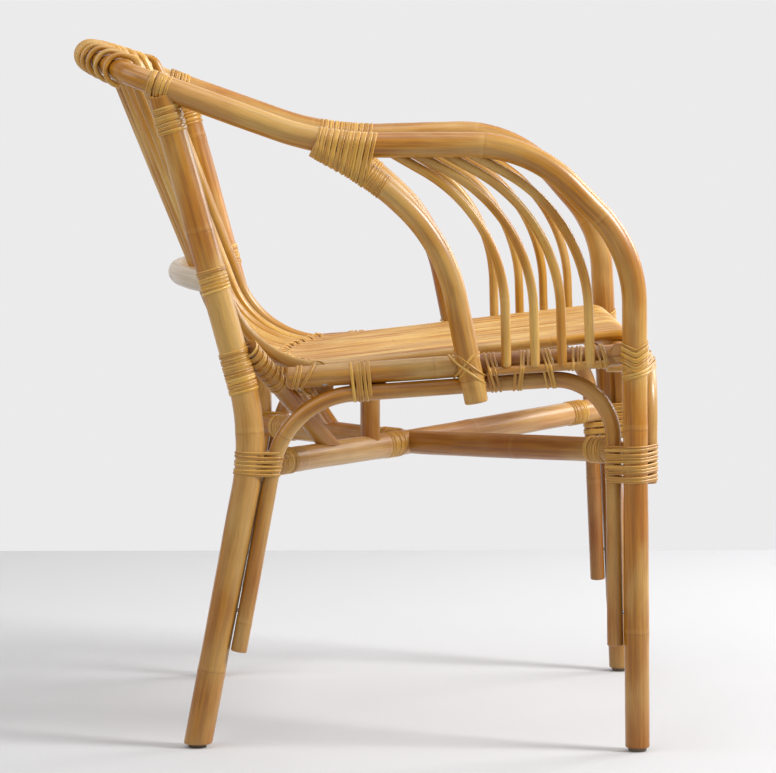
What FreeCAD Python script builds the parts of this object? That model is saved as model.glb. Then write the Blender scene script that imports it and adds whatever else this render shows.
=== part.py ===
"""Rattan armchair: bent poles, slats and cane bindings, each piece a separate solid.

X points to the front of the chair, Y to the sitter's left and Z up, with the floor at Z = 0.
Places are given for one side as (X, distance from the middle, Z), and side turns them into
the sitter's right (-1) or left (+1).
"""
import FreeCAD, Part
import math
import os

from FreeCAD import Vector

# Pole diameters
ARM_POLE_D = 26.5
TOP_RAIL_D = 24.0
REAR_LEG_D = 31.0
SUPPORT_D = 25.0
SIDE_ARCH_D = 17.5
FRONT_ARCH_D = 17.0
SEAT_RAIL_D = 24.0
CROSS_RAIL_D = 22.0
MID_RAIL_D = 24.0
STRETCHER_D = 27.5
BRACE_D = 21.0
PEG_D = 21.5
SPINDLE_D = 10.5
LATH_D = 9.0
SLAT_D = 12.5
CANE_D = 3.0

# Room between touching poles, under a cane strand, and for a whole binding between two poles
FIT = 0.2
CANE_FIT = 0.6
CANE_ROOM = CANE_D + CANE_FIT + FIT
# Step from turn to turn on one pole, round several poles, and at the loose seat corners
CANE_PITCH = 4.0
GROUP_PITCH = 4.4
CORNER_PITCH = 5.0

# Moves the whole chair so that its box is centred on the origin
CENTRE_SHIFT = -10.0

# Feet
GLIDE_HEIGHT = 4.0
GLIDE_D = 21.0
GLIDE_TAPER = 1.0
UNDER_FLOOR = -40.0

# Arm poles: foot, front corner, arm corner, start of the rise, joint with the top rail
ARM_FOOT = (303.5, 269.0, UNDER_FLOOR)
ARM_FRONT_CORNER = (297.0, 260.0, 540.0)
ARM_TOP_CORNER = (185.0, 262.0, 653.0)
ARM_RISE = (-34.0, 262.0, 652.0)
ARM_END = (-209.5, 237.0, 715.0)
ARM_BENDS = (140.0, 150.0, 300.0)
# The left arm was bent a little further forward and higher at its front than the right one
LEFT_FOOT_FORWARD = 22.0
LEFT_TOP_CORNER = (194.0, 262.0, 658.0)
LEFT_SPINDLES_FORWARD = 9.0

# Top rail: middle of the back, with one wide bow and a tighter corner at each end
RAIL_MIDDLE = (-298.5, 0.0, 748.5)
RAIL_BOW_RADIUS = 450.0
RAIL_BOW_HALF = 212.0

# Rear legs: foot, knee, and a point in the joint under the arm end
REAR_FOOT = (-180.5, 238.0, UNDER_FLOOR)
REAR_KNEE = (-108.0, 240.0, 340.0)
REAR_TOP = (-209.0, 236.0, 712.0)
REAR_KNEE_BEND = 260.0

# Arm supports, from the scarf under the arm to the cut end below the seat rail
SUPPORT_POINTS = ((-45.0, 262.0, 652.0), (20.0, 262.0, 618.0), (95.0, 262.0, 545.0), (129.0, 262.0, 376.5))
SUPPORT_BENDS = (290.0, 187.0)

# Seat rails
SIDE_RAIL_REAR = (-75.0, 234.0, 401.0)
SIDE_RAIL_FRONT = (285.0, 236.0, 426.0)
FRONT_RAIL_X = 284.0
MIDDLE_RAIL_X = 21.5
MIDDLE_RAIL_UNDER = 2.0
REAR_RAIL_X = -80.0
REAR_RAIL_BOW = 46.0
REAR_RAIL_HALF = 224.0

# Side arches run under the side rails and down both legs
ARCH_REAR_FOOT = (-127.5, 243.0, 105.0)
ARCH_REAR_CORNER = (-76.0, 237.0, 379.7)
ARCH_FRONT_CORNER = (276.0, 239.0, 404.0)
ARCH_FRONT_FOOT = (279.0, 262.0, 113.5)
ARCH_BENDS = (95.0, 62.0)

# Front arch, in front of the legs
FRONT_ARCH_FOOT = (315.5, 248.0, 288.0)
FRONT_ARCH_TOP = (316.0, 246.0, 418.0)
FRONT_ARCH_BEND = 65.0

# Crossed stretchers, from inside a rear leg to inside the front leg of the other side
STRETCHER_REAR = (-114.0, 234.0, 306.0)
STRETCHER_MIDDLE = (60.0, 0.0, 308.0)
STRETCHER_FRONT = (292.0, 252.0, 323.0)
# Room for the lean of the legs where a stretcher's end sits on their binding
LEAN_ROOM = 0.8
STRETCHER_BEND = 800.0
# Half the width between the two lobes that the crossing's binding goes round
CROSSING_SPREAD = 12.0

# Knee braces and seat pegs
BRACE_TOP = (-112.0, 235.0, 428.0)
BRACE_FOOT = (-23.0, 111.5, 308.0)
PEG_X = 17.0
PEG_Y = 58.0

# Mid back rail behind the slats
MID_RAIL_Z = 504.5
MID_RAIL_BOW = 33.5
MID_RAIL_HALF = 236.0

# Slats: seat line, back corner of the middle slat, and the bow of the back across the chair
SLAT_COUNT = 15
SLAT_PITCH = 29.0
SEAT_LINE_X = -45.0
SEAT_LINE_Z = 408.0
SEAT_SLOPE = 0.115
SLAT_CORNER_X = -136.0
SLAT_CORNER_BEND = 110.0
SLAT_BOW = 29.5
SLAT_TAIL = 12.0
# The upper ends are shaved thin to wrap round the top rail
SHAVED_D = 6.5
SHAVED_SWEEP = 285.0
SHAVED_START = -25.0
SLAT_TOP_REACH = 6.0
SHAVED_INSET = 0.6

# Spindles: tops under the arm, bends and lower ends on the lath
SPINDLE_TOPS = (22.0, 45.0, 76.0, 104.0)
SPINDLE_BENDS_X = (157.0, 187.0, 216.0, 245.5)
SPINDLE_FEET = (161.0, 192.0, 221.0, 251.0)
SPINDLE_BEND_Z = 576.0
SPINDLE_BEND_RADIUS = 175.0
SPINDLE_TOP_Y = 258.0
SPINDLE_FOOT_Y = 254.2
LATH_REAR = (141.0, 254.2, 409.5)
LATH_FRONT = (271.5, 254.2, 418.0)
LASHING_XS = (146.0, 177.0, 206.5, 235.5, 264.0)
LASHING_HALF = 4.0
# The arch bends down in front of this place, so lashings there leave it out
ARCH_LASHED_TO_X = 210.0

# Crossed lashing of arm support and seat rail
SUPPORT_CROSSING_X = 119.5
SUPPORT_CROSSING_Y = 249.5
CROSSED_TURNS = 2

# Where the other bindings begin and end, along X or Z
ARM_SUPPORT_WOUND_X = (18.0, -44.0)
SUPPORT_COLLAR_Z = (598.0, 586.0)
TOP_CORNER_WOUND_X = (-199.0, -221.0)
TOP_CORNER_ROOM = 0.5
LEG_TOP_ROOM = 5.5
LEG_TOP_WOUND_Z = (662.0, 684.0)
MID_RAIL_WOUND_Z = (497.0, 517.0)
KNEE_WOUND_Z = (390.0, 430.0)
BRACE_WOUND_Z = (384.0, 410.0)
SEAT_CORNER_WOUND_X = (-72.0, -52.0)
RAIL_ARCH_WOUND_X = (-10.0, 8.0)
FRONT_SEAT_WOUND_Z = (404.0, 442.0)
FRONT_LEG_WOUND_Z = (292.0, 330.0)
REAR_LEG_WOUND_Z = (296.0, 322.0)
STRETCHER_WOUND_X = ((-88.0, -70.0), (248.0, 266.0))
CROSSING_TURNS = 4

# Hidden fasteners
DOWEL_D = 8.0
DOWEL_LENGTH = 50.0
SCREW_D = 4.0
SCREW_HEAD_D = 8.0
SCREW_LENGTH = 33.0
SCREW_SINK = 5.6
ARCH_SCREW_Z = 150.0
SUPPORT_SCREW_X = -8.0

SIDES = {"right": -1.0, "left": 1.0}
# Poles that are bound together pass within this distance of each other
BESIDE = 70.0
# Larger than the chair, for what is cut off
BEYOND = 2000.0
# No pole runs this way, so that a winding round a single pole can start from it
ACROSS_ANY_POLE = Vector(0.3, 0.9, 0.2)
# Points on each turn of a strand where its gap to itself is measured
TURN_POINTS = 36


def at(place, side):
    """Turns (X, distance from the middle, Z) into a point on one side of the chair."""
    return Vector(place[0], place[1] * side, place[2])


def forward(side, z):
    """How much further forward the left front leg stands at height z."""
    if side < 0:
        return 0.0
    return LEFT_FOOT_FORWARD * max(0.0, 1.0 - z / ARM_FRONT_CORNER[2])


def at_front(place, side):
    """A point beside a front leg, moved with that leg."""
    point = at(place, side)
    point.x += forward(side, place[2])
    return point


def seat_z(x):
    """Height of the slats' middle line along the seat."""
    return SEAT_LINE_Z + SEAT_SLOPE * (x - SEAT_LINE_X)


def rail_line_z(x):
    """Height of the side seat rail's axis."""
    share = (x - SIDE_RAIL_REAR[0]) / (SIDE_RAIL_FRONT[0] - SIDE_RAIL_REAR[0])
    return SIDE_RAIL_REAR[2] + share * (SIDE_RAIL_FRONT[2] - SIDE_RAIL_REAR[2])


def line(a, b):
    return Part.LineSegment(a, b).toShape()


def unit(v):
    return Vector(v).normalize()


def arc_to_apex(a, apex, b):
    """Arc from a to b whose end tangents meet at apex, or a line where it is straight."""
    middle = (a + b) * 0.5
    half = (b - a).Length / 2
    rise = (apex - middle).Length
    if rise < 1e-6 * half:
        return line(a, b)
    sagitta = half * math.tan(math.atan2(rise, half) / 2)
    top = middle + (apex - middle) * (sagitta / rise)
    return Part.Arc(a, top, b).toShape()


def rounded_edges(points, bends):
    """Straight runs through the points, with a tangent arc of the given radius at each inner point."""
    edges = []
    start = points[0]
    for index, radius in enumerate(bends, 1):
        corner = points[index]
        before = unit(corner - points[index - 1])
        after = unit(points[index + 1] - corner)
        reach = radius * math.tan(before.getAngle(after) / 2)
        first = corner - before * reach
        last = corner + after * reach
        edges.append(line(start, first))
        edges.append(arc_to_apex(first, corner, last))
        start = last
    edges.append(line(start, points[-1]))
    return edges


def pipe(edges, diameter):
    """Round solid along a path, with its volume compared with section times length."""
    wire = Part.Wire(edges)
    first = edges[0]
    start = first.valueAt(first.FirstParameter)
    heading = first.tangentAt(first.FirstParameter)
    circle = Part.Wire([Part.makeCircle(diameter / 2, start, heading)])
    solid = wire.makePipeShell([circle], True, False)
    expected = math.pi * diameter ** 2 / 4 * wire.Length
    if abs(solid.Volume / expected - 1.0) > 0.01:
        raise ValueError("a pole's volume is off: %.3f" % (solid.Volume / expected))
    return solid


class Pole:
    """A pole of one diameter along a path, and the shape that is left of it after its joints are cut."""

    def __init__(self, edges, diameter):
        self.edges = edges
        self.diameter = diameter
        self.shape = pipe(edges, diameter)
        self.line = Part.Wire(edges).discretize(Distance=1.5)

    def swelled(self, room=FIT):
        """The pole with some room all round, to cut another piece to it."""
        return pipe(self.edges, self.diameter + 2 * room)

    def cut(self, *cutters):
        """Cuts this pole to its neighbours and keeps its main piece."""
        for cutter in cutters:
            left = self.shape.cut(cutter)
            self.shape = max(left.Solids, key=lambda solid: solid.Volume)

    def near(self, axis, value, beside=None):
        """Point and direction of the axis where one coordinate passes a value, beside a given point."""
        inner = range(1, len(self.line) - 1)
        if beside is not None:
            inner = [i for i in inner if (self.line[i] - beside).Length < BESIDE]
        index = min(inner, key=lambda i: abs(self.line[i][axis] - value))
        heading = unit(self.line[index + 1] - self.line[index - 1])
        share = (value - self.line[index][axis]) / heading[axis]
        return self.line[index] + heading * share, heading


# Windings

def hull_turn(circles):
    """One turn round some circles of a section, as steps (circle, start angle, end angle) of an arc."""
    def reach(circle, angle):
        return circle[0] * math.cos(angle) + circle[1] * math.sin(angle) + circle[2]

    count = 720
    angles = [2 * math.pi * k / count for k in range(count)]
    active = [max(range(len(circles)), key=lambda i: reach(circles[i], angle)) for angle in angles]
    changes = [k for k in range(count) if active[k] != active[k - 1]]
    if not changes:
        return [(0, 0.0, 2 * math.pi)]
    steps = []
    for place, k in enumerate(changes):
        end = changes[(place + 1) % len(changes)]
        start_angle = angles[k] - math.pi / count
        end_angle = angles[end] - math.pi / count
        if end_angle <= start_angle:
            end_angle += 2 * math.pi
        steps.append((active[k], start_angle, end_angle))
    return steps


def common_angle(a, b, guess):
    """Angle of the straight run that touches two circles, next to a first guess."""
    away = math.atan2(a[1] - b[1], a[0] - b[0])
    spread = math.acos((b[2] - a[2]) / math.hypot(a[0] - b[0], a[1] - b[1]))
    options = [away + sign * spread + 2 * math.pi * k for sign in (-1, 1) for k in (-1, 0, 1, 2)]
    return min(options, key=lambda option: abs(option - guess))


def turn_nodes(circles):
    """Nodes (circle, angle) of one turn: quarter turns at most, with straight runs between circles."""
    steps = hull_turn(circles)
    nodes = []
    for place, (index, start, end) in enumerate(steps):
        if len(steps) > 1:
            start = common_angle(circles[steps[place - 1][0]], circles[index], start)
            end = common_angle(circles[index], circles[steps[(place + 1) % len(steps)][0]], end)
        pieces = max(1, math.ceil((end - start) / (math.pi / 2) - 1e-6))
        nodes += [(index, start + (end - start) * k / pieces) for k in range(pieces + 1)]
    return nodes if len(steps) > 1 else nodes[:-1]


def biarc(p0, t0, p1, t1):
    """Two tangent arcs from p0 along t0 to p1 along t1, or one line where the run is straight."""
    chord = p1 - p0
    if chord.cross(t0).Length < 1e-5 * chord.Length and chord.cross(t1).Length < 1e-5 * chord.Length:
        return [line(p0, p1)]
    total = chord.dot(t0 + t1)
    bend = 2 * (1 - t0.dot(t1))
    if bend < 1e-9:
        arm = chord.dot(chord) / (4 * chord.dot(t1))
    else:
        arm = (-total + math.sqrt(total ** 2 + bend * chord.dot(chord))) / bend
    apex0 = p0 + t0 * arm
    apex1 = p1 - t1 * arm
    joint = (apex0 + apex1) * 0.5
    return [arc_to_apex(p0, apex0, joint), arc_to_apex(joint, apex1, p1)]


def winding(poles, turns, pitch=CANE_PITCH, tail=CANE_D):
    """A cane strand wound round parallel poles.

    poles lists (start of axis, end of axis, radius) of each pole for the length that is wound.
    The first pole carries the middle of the winding.
    """
    begin, finish, _ = poles[0]
    axis = unit(finish - begin)
    middle = (begin + finish) * 0.5
    length = turns * pitch
    other = poles[1][0] - begin if len(poles) > 1 else ACROSS_ANY_POLE
    across = unit(other - axis * axis.dot(other))
    upward = axis.cross(across)

    def section(along):
        """Circles of the poles, with room for the strand, where a plane square to the axis cuts them."""
        found = []
        for start, end, radius in poles:
            run = end - start
            share = (along - (start - middle).dot(axis)) / run.dot(axis)
            offset = start + run * share - middle
            aslant = radius * run.Length / abs(run.dot(axis))
            found.append((offset.dot(across), offset.dot(upward), aslant + CANE_D / 2 + CANE_FIT))
        return found

    circles = section(0.0)
    nodes = turn_nodes(circles)
    lengths = []
    for k, (index, angle) in enumerate(nodes):
        after, after_angle = nodes[(k + 1) % len(nodes)]
        if after == index:
            lengths.append(circles[index][2] * ((after_angle - angle) % (2 * math.pi)))
        else:
            apart = math.hypot(circles[after][0] - circles[index][0], circles[after][1] - circles[index][1])
            step = circles[after][2] - circles[index][2]
            lengths.append(math.sqrt(apart ** 2 - step ** 2))
    perimeter = sum(lengths)

    points = []
    tangents = []
    for turn in range(turns):
        done = 0.0
        for (index, angle), run in zip(nodes, lengths):
            along = (turn + done / perimeter) * pitch - length / 2
            x, y, radius = section(along)[index]
            outward = across * math.cos(angle) + upward * math.sin(angle)
            onward = upward * math.cos(angle) - across * math.sin(angle)
            points.append(middle + axis * along + across * x + upward * y + outward * radius)
            tangents.append(unit(onward + axis * (pitch / perimeter)))
            done += run
    edges = [line(points[0] - tangents[0] * tail, points[0])]
    for k in range(len(points) - 1):
        edges += biarc(points[k], tangents[k], points[k + 1], tangents[k + 1])
    edges.append(line(points[-1], points[-1] + tangents[-1] * tail))
    measure_gap(edges, turns)
    return pipe(edges, CANE_D)


least_gaps = []


def measure_gap(edges, turns):
    """Keeps the least gap of a strand to itself, measured on points along it."""
    points = Part.Wire(edges).discretize(Number=TURN_POINTS * turns + 1)
    skip = TURN_POINTS // 2
    gap = min(
        (points[i] - points[j]).Length
        for i in range(len(points) - skip)
        for j in range(i + skip, min(len(points), i + 3 * skip))
    )
    least_gaps.append(gap - CANE_D)


def wrap(poles, axis, span, pitch=CANE_PITCH):
    """A winding along poles between two values of one coordinate, with as many turns as fit."""
    first = poles[0].near(axis, sum(span) / 2)[0]
    ends = []
    for pole in poles:
        begin, finish = (pole.near(axis, value, first)[0] for value in span)
        ends.append((begin, finish, pole.diameter / 2))
    turns = max(2, round((ends[0][1] - ends[0][0]).Length / pitch))
    return winding(ends, turns, pitch)


def crossed_lashing(centre, poles, diagonals):
    """Two windings that cross over the joint of some poles, the second one over the first."""
    strands = []
    for layer, diagonal in enumerate(diagonals):
        core = (centre - diagonal, centre + diagonal, 1.0)
        room = layer * (CANE_ROOM + FIT)
        bound = [(pole.line[0], pole.line[-1], pole.diameter / 2 + room) for pole in poles]
        strands.append(winding([core] + bound, CROSSED_TURNS))
    return strands


# Poles of the frame

def make_arm_pole(side):
    top_corner = ARM_TOP_CORNER if side < 0 else LEFT_TOP_CORNER
    rest = [ARM_FRONT_CORNER, top_corner, ARM_RISE, ARM_END]
    points = [at_front(ARM_FOOT, side)] + [at(place, side) for place in rest]
    return Pole(rounded_edges(points, ARM_BENDS), ARM_POLE_D)


def rail_frame():
    """Length of the top rail's rise from the arm ends to its middle, and its direction."""
    rise = Vector(RAIL_MIDDLE[0] - ARM_END[0], 0, RAIL_MIDDLE[2] - ARM_END[2])
    return rise.Length, unit(rise)


def rail_point(u, y):
    """A point in the sloping plane of the top rail."""
    _, slope = rail_frame()
    return Vector(ARM_END[0], y, ARM_END[2]) + slope * u


def rail_bow(y):
    """How far the top rail's wide bow has gone up its plane at a distance y from the middle."""
    depth, _ = rail_frame()
    return depth - RAIL_BOW_RADIUS + math.sqrt(RAIL_BOW_RADIUS ** 2 - y ** 2)


def make_top_rail():
    half = RAIL_BOW_HALF
    turn = math.asin(half / RAIL_BOW_RADIUS)
    u = rail_bow(half)
    joints = [rail_point(u, -half), rail_point(u, half)]
    ends = [rail_point(0, -ARM_END[1]), rail_point(0, ARM_END[1])]
    # Each corner starts along the bow's end tangent, and its apex lies where the two tangents meet
    chord = math.hypot(u, ARM_END[1] - half)
    lean = math.atan2(u, ARM_END[1] - half)
    arm = chord / 2 / math.cos(lean - turn)
    apexes = [rail_point(u - arm * math.sin(turn), sign * (half + arm * math.cos(turn))) for sign in (-1, 1)]
    edges = [
        arc_to_apex(ends[0], apexes[0], joints[0]),
        Part.Arc(joints[0], rail_point(rail_bow(0), 0), joints[1]).toShape(),
        arc_to_apex(joints[1], apexes[1], ends[1]),
    ]
    return Pole(edges, TOP_RAIL_D)


def make_rear_leg(side):
    points = [at(place, side) for place in (REAR_FOOT, REAR_KNEE, REAR_TOP)]
    return Pole(rounded_edges(points, [REAR_KNEE_BEND]), REAR_LEG_D)


def make_support(side):
    points = [at(place, side) for place in SUPPORT_POINTS]
    return Pole(rounded_edges(points, SUPPORT_BENDS), SUPPORT_D)


def make_side_arch(side):
    points = [at(place, side) for place in (ARCH_REAR_FOOT, ARCH_REAR_CORNER)]
    points += [at_front(place, side) for place in (ARCH_FRONT_CORNER, ARCH_FRONT_FOOT)]
    return Pole(rounded_edges(points, ARCH_BENDS), SIDE_ARCH_D)


def make_front_arch():
    right = [at_front(place, SIDES["right"]) for place in (FRONT_ARCH_FOOT, FRONT_ARCH_TOP)]
    left = [at_front(place, SIDES["left"]) for place in (FRONT_ARCH_TOP, FRONT_ARCH_FOOT)]
    return Pole(rounded_edges(right + left, [FRONT_ARCH_BEND] * 2), FRONT_ARCH_D)


def make_side_rail(side):
    return Pole([line(at(SIDE_RAIL_REAR, side), at(SIDE_RAIL_FRONT, side))], SEAT_RAIL_D)


def slat_wrap(pole_d):
    """Radius of a slat's middle line where it wraps a rail of this diameter."""
    return pole_d / 2 + SLAT_D / 2 + FIT


def under_slats(x):
    """Axis height of a cross rail that carries the slats at x."""
    return seat_z(x) - slat_wrap(CROSS_RAIL_D) * math.hypot(1, SEAT_SLOPE)


def make_front_rail():
    reach = ARM_FOOT[1]
    z = under_slats(FRONT_RAIL_X)
    return Pole([line(Vector(FRONT_RAIL_X, -reach, z), Vector(FRONT_RAIL_X, reach, z))], CROSS_RAIL_D)


def make_middle_rail():
    reach = SIDE_RAIL_REAR[1] - SEAT_RAIL_D / 2 + MIDDLE_RAIL_UNDER
    z = under_slats(MIDDLE_RAIL_X)
    return Pole([line(Vector(MIDDLE_RAIL_X, -reach, z), Vector(MIDDLE_RAIL_X, reach, z))], CROSS_RAIL_D)


def rear_rail_point(y):
    """The rear seat rail lies in a plane along the seat, bowed to the back."""
    x = REAR_RAIL_X + REAR_RAIL_BOW * (y / REAR_RAIL_HALF) ** 2
    return Vector(x, y, under_slats(REAR_RAIL_X) + SEAT_SLOPE * (x - REAR_RAIL_X))


def make_rear_rail():
    ends = [rear_rail_point(y) for y in (-REAR_RAIL_HALF, REAR_RAIL_HALF)]
    return Pole([Part.Arc(ends[0], rear_rail_point(0), ends[1]).toShape()], CROSS_RAIL_D)


def make_stretcher(side):
    """A stretcher from the rear leg of one side to the front leg of the other."""
    points = [at(STRETCHER_REAR, side), at(STRETCHER_MIDDLE, side), at_front(STRETCHER_FRONT, -side)]
    return Pole(rounded_edges(points, [STRETCHER_BEND]), STRETCHER_D)


def seat_on_binding(stretcher, first, second, z):
    """Cuts a stretcher's end flat, to sit on the binding that goes round two upright poles."""
    circles = []
    for pole in (first, second):
        middle, _ = pole.near(2, z)
        circles.append((middle.x, middle.y, pole.diameter / 2 + CANE_ROOM + LEAN_ROOM))
    end = min(stretcher.line, key=lambda point: math.hypot(point.x - circles[0][0], point.y - circles[0][1]))
    inward = at(STRETCHER_MIDDLE, 1) - end
    angle = common_angle(*circles, math.atan2(inward.y, inward.x))
    normal = Vector(math.cos(angle), math.sin(angle), 0)
    start = Vector(circles[0][0], circles[0][1], z) + normal * circles[0][2]
    stretcher.cut(Part.makeCylinder(2 * BESIDE, BESIDE, start, normal * -1))


def make_brace(side):
    return Pole([line(at(BRACE_TOP, side), at(BRACE_FOOT, side))], BRACE_D)


def make_peg(side):
    low = Vector(PEG_X, PEG_Y * side, STRETCHER_MIDDLE[2])
    high = Vector(PEG_X, PEG_Y * side, under_slats(MIDDLE_RAIL_X))
    return Pole([line(low, high)], PEG_D)


def make_mid_rail():
    """The lumbar rail touches the back of every slat."""
    def spot(y):
        share = (y / (SLAT_PITCH * (SLAT_COUNT // 2))) ** 2
        x = mid_slat_x() + MID_RAIL_BOW * share
        return Vector(x, y, MID_RAIL_Z)

    return Pole([Part.Arc(spot(-MID_RAIL_HALF), spot(0), spot(MID_RAIL_HALF)).toShape()], MID_RAIL_D)


def mid_slat_x():
    """Axis of the lumbar rail behind the middle slat."""
    corner, touch = slat_back(0.0)
    heading = unit(touch - corner)
    share = (MID_RAIL_Z - corner.z) / (touch.z - corner.z)
    room = (MID_RAIL_D + SLAT_D) / 2 + 3 * FIT
    return corner.x + (touch.x - corner.x) * share - room / heading.z


def slat_back(y):
    """Back corner of a slat, and the point where its back line meets the wrap round the top rail."""
    share = (y / (SLAT_PITCH * (SLAT_COUNT // 2))) ** 2
    x = SLAT_CORNER_X + SLAT_BOW * share
    corner = Vector(x, y, seat_z(x))
    rail = rail_point(rail_bow(y), y)
    radius = back_wrap(y)
    away = rail - corner
    angle = math.atan2(away.z, away.x) - math.asin(radius / away.Length)
    reach = math.sqrt(away.Length ** 2 - radius ** 2)
    return corner, corner + Vector(math.cos(angle), 0, math.sin(angle)) * reach


def back_wrap(y):
    """The rail is cut aslant by a slat's plane away from the middle, so the wrap is wider there."""
    slant = math.cos(math.asin(y / RAIL_BOW_RADIUS))
    return TOP_RAIL_D / 2 / slant + SLAT_D / 2 + 2 * FIT


def round_rail(centre, start, radius, sweep):
    """Arcs of up to a third of a turn each, round a centre in the slat's plane, from a start point."""
    pieces = math.ceil(abs(sweep) / 120)
    begin = math.atan2(start.z - centre.z, start.x - centre.x)
    step = math.radians(sweep / pieces)

    def spot(angle):
        return centre + Vector(math.cos(angle), 0, math.sin(angle)) * radius

    arcs = []
    for k in range(pieces):
        first, middle, last = (spot(begin + (k + part) * step) for part in (0.0, 0.5, 1.0))
        arcs.append(Part.Arc(first, middle, last).toShape())
    return arcs


def make_slat(y):
    """A slat from under the front rail, over it, along the seat and up the back, with its shaved end
    wrapped round the top rail."""
    front = Vector(FRONT_RAIL_X, y, under_slats(FRONT_RAIL_X))
    radius = slat_wrap(CROSS_RAIL_D)
    below = front - Vector(0, 0, radius)
    rise = 180 + math.degrees(math.atan(SEAT_SLOPE))
    wrapped = round_rail(front, below, radius, rise)
    on_seat = wrapped[-1].valueAt(wrapped[-1].LastParameter)
    corner, touch = slat_back(y)
    upper_end = touch + unit(touch - corner) * SLAT_TOP_REACH
    bend = rounded_edges([on_seat, corner, upper_end], [SLAT_CORNER_BEND])
    tail = line(below - Vector(SLAT_TAIL, 0, 0), below)
    slat = Pole([tail] + wrapped + bend, SLAT_D)
    rail = rail_point(rail_bow(y), y)
    shaved_radius = back_wrap(y) - (SLAT_D - SHAVED_D) / 2 + SHAVED_INSET
    begin = rail + Vector(math.cos(math.radians(SHAVED_START)), 0, math.sin(math.radians(SHAVED_START)))
    shaved = pipe(round_rail(rail, begin, shaved_radius, SHAVED_SWEEP), SHAVED_D)
    slat.shape = slat.shape.fuse(shaved)
    return slat


def spindles_ahead(side):
    """How far the spindles of a side stand in front of the right ones."""
    return 0.0 if side < 0 else LEFT_SPINDLES_FORWARD


def make_spindle(side, number):
    ahead = spindles_ahead(side)
    top = Vector(SPINDLE_TOPS[number] + ahead, SPINDLE_TOP_Y * side, ARM_TOP_CORNER[2])
    middle_y = (SPINDLE_TOP_Y + SPINDLE_FOOT_Y) / 2
    bend = Vector(SPINDLE_BENDS_X[number] + ahead, middle_y * side, SPINDLE_BEND_Z)
    foot_x = SPINDLE_FEET[number] + ahead
    share = (foot_x - LATH_REAR[0]) / (LATH_FRONT[0] - LATH_REAR[0])
    lath_z = LATH_REAR[2] + share * (LATH_FRONT[2] - LATH_REAR[2])
    foot = Vector(foot_x, SPINDLE_FOOT_Y * side, lath_z)
    return Pole(rounded_edges([top, bend, foot], [SPINDLE_BEND_RADIUS]), SPINDLE_D)


def make_lath(side):
    return Pole([line(at(LATH_REAR, side), at(LATH_FRONT, side))], LATH_D)


# Fasteners

def make_screw(surface, heading):
    """A countersunk screw whose head is sunk under the surface of the outer pole."""
    start = surface + heading * SCREW_SINK
    head_depth = (SCREW_HEAD_D - SCREW_D) / 2
    head = Part.makeCone(SCREW_HEAD_D / 2, SCREW_D / 2, head_depth, start, heading)
    shank = Part.makeCylinder(SCREW_D / 2, SCREW_LENGTH - head_depth, start + heading * head_depth, heading)
    return head.fuse(shank).removeSplitter()


def make_dowel(centre, heading):
    return Part.makeCylinder(DOWEL_D / 2, DOWEL_LENGTH, centre - heading * (DOWEL_LENGTH / 2), heading)


def make_glide(pole):
    foot, _ = pole.near(2, GLIDE_HEIGHT / 2)
    foot.z = 0
    return Part.makeCone(GLIDE_D / 2 - GLIDE_TAPER, GLIDE_D / 2, GLIDE_HEIGHT, foot)


def export(nodes):
    os.makedirs("parts", exist_ok=True)
    for name, solids in nodes.items():
        solids = [solid.translated(Vector(CENTRE_SHIFT, 0, 0)) for solid in solids]
        shape = solids[0] if len(solids) == 1 else Part.makeCompound(solids)
        shape.exportStep("parts/%s.step" % name)


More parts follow.
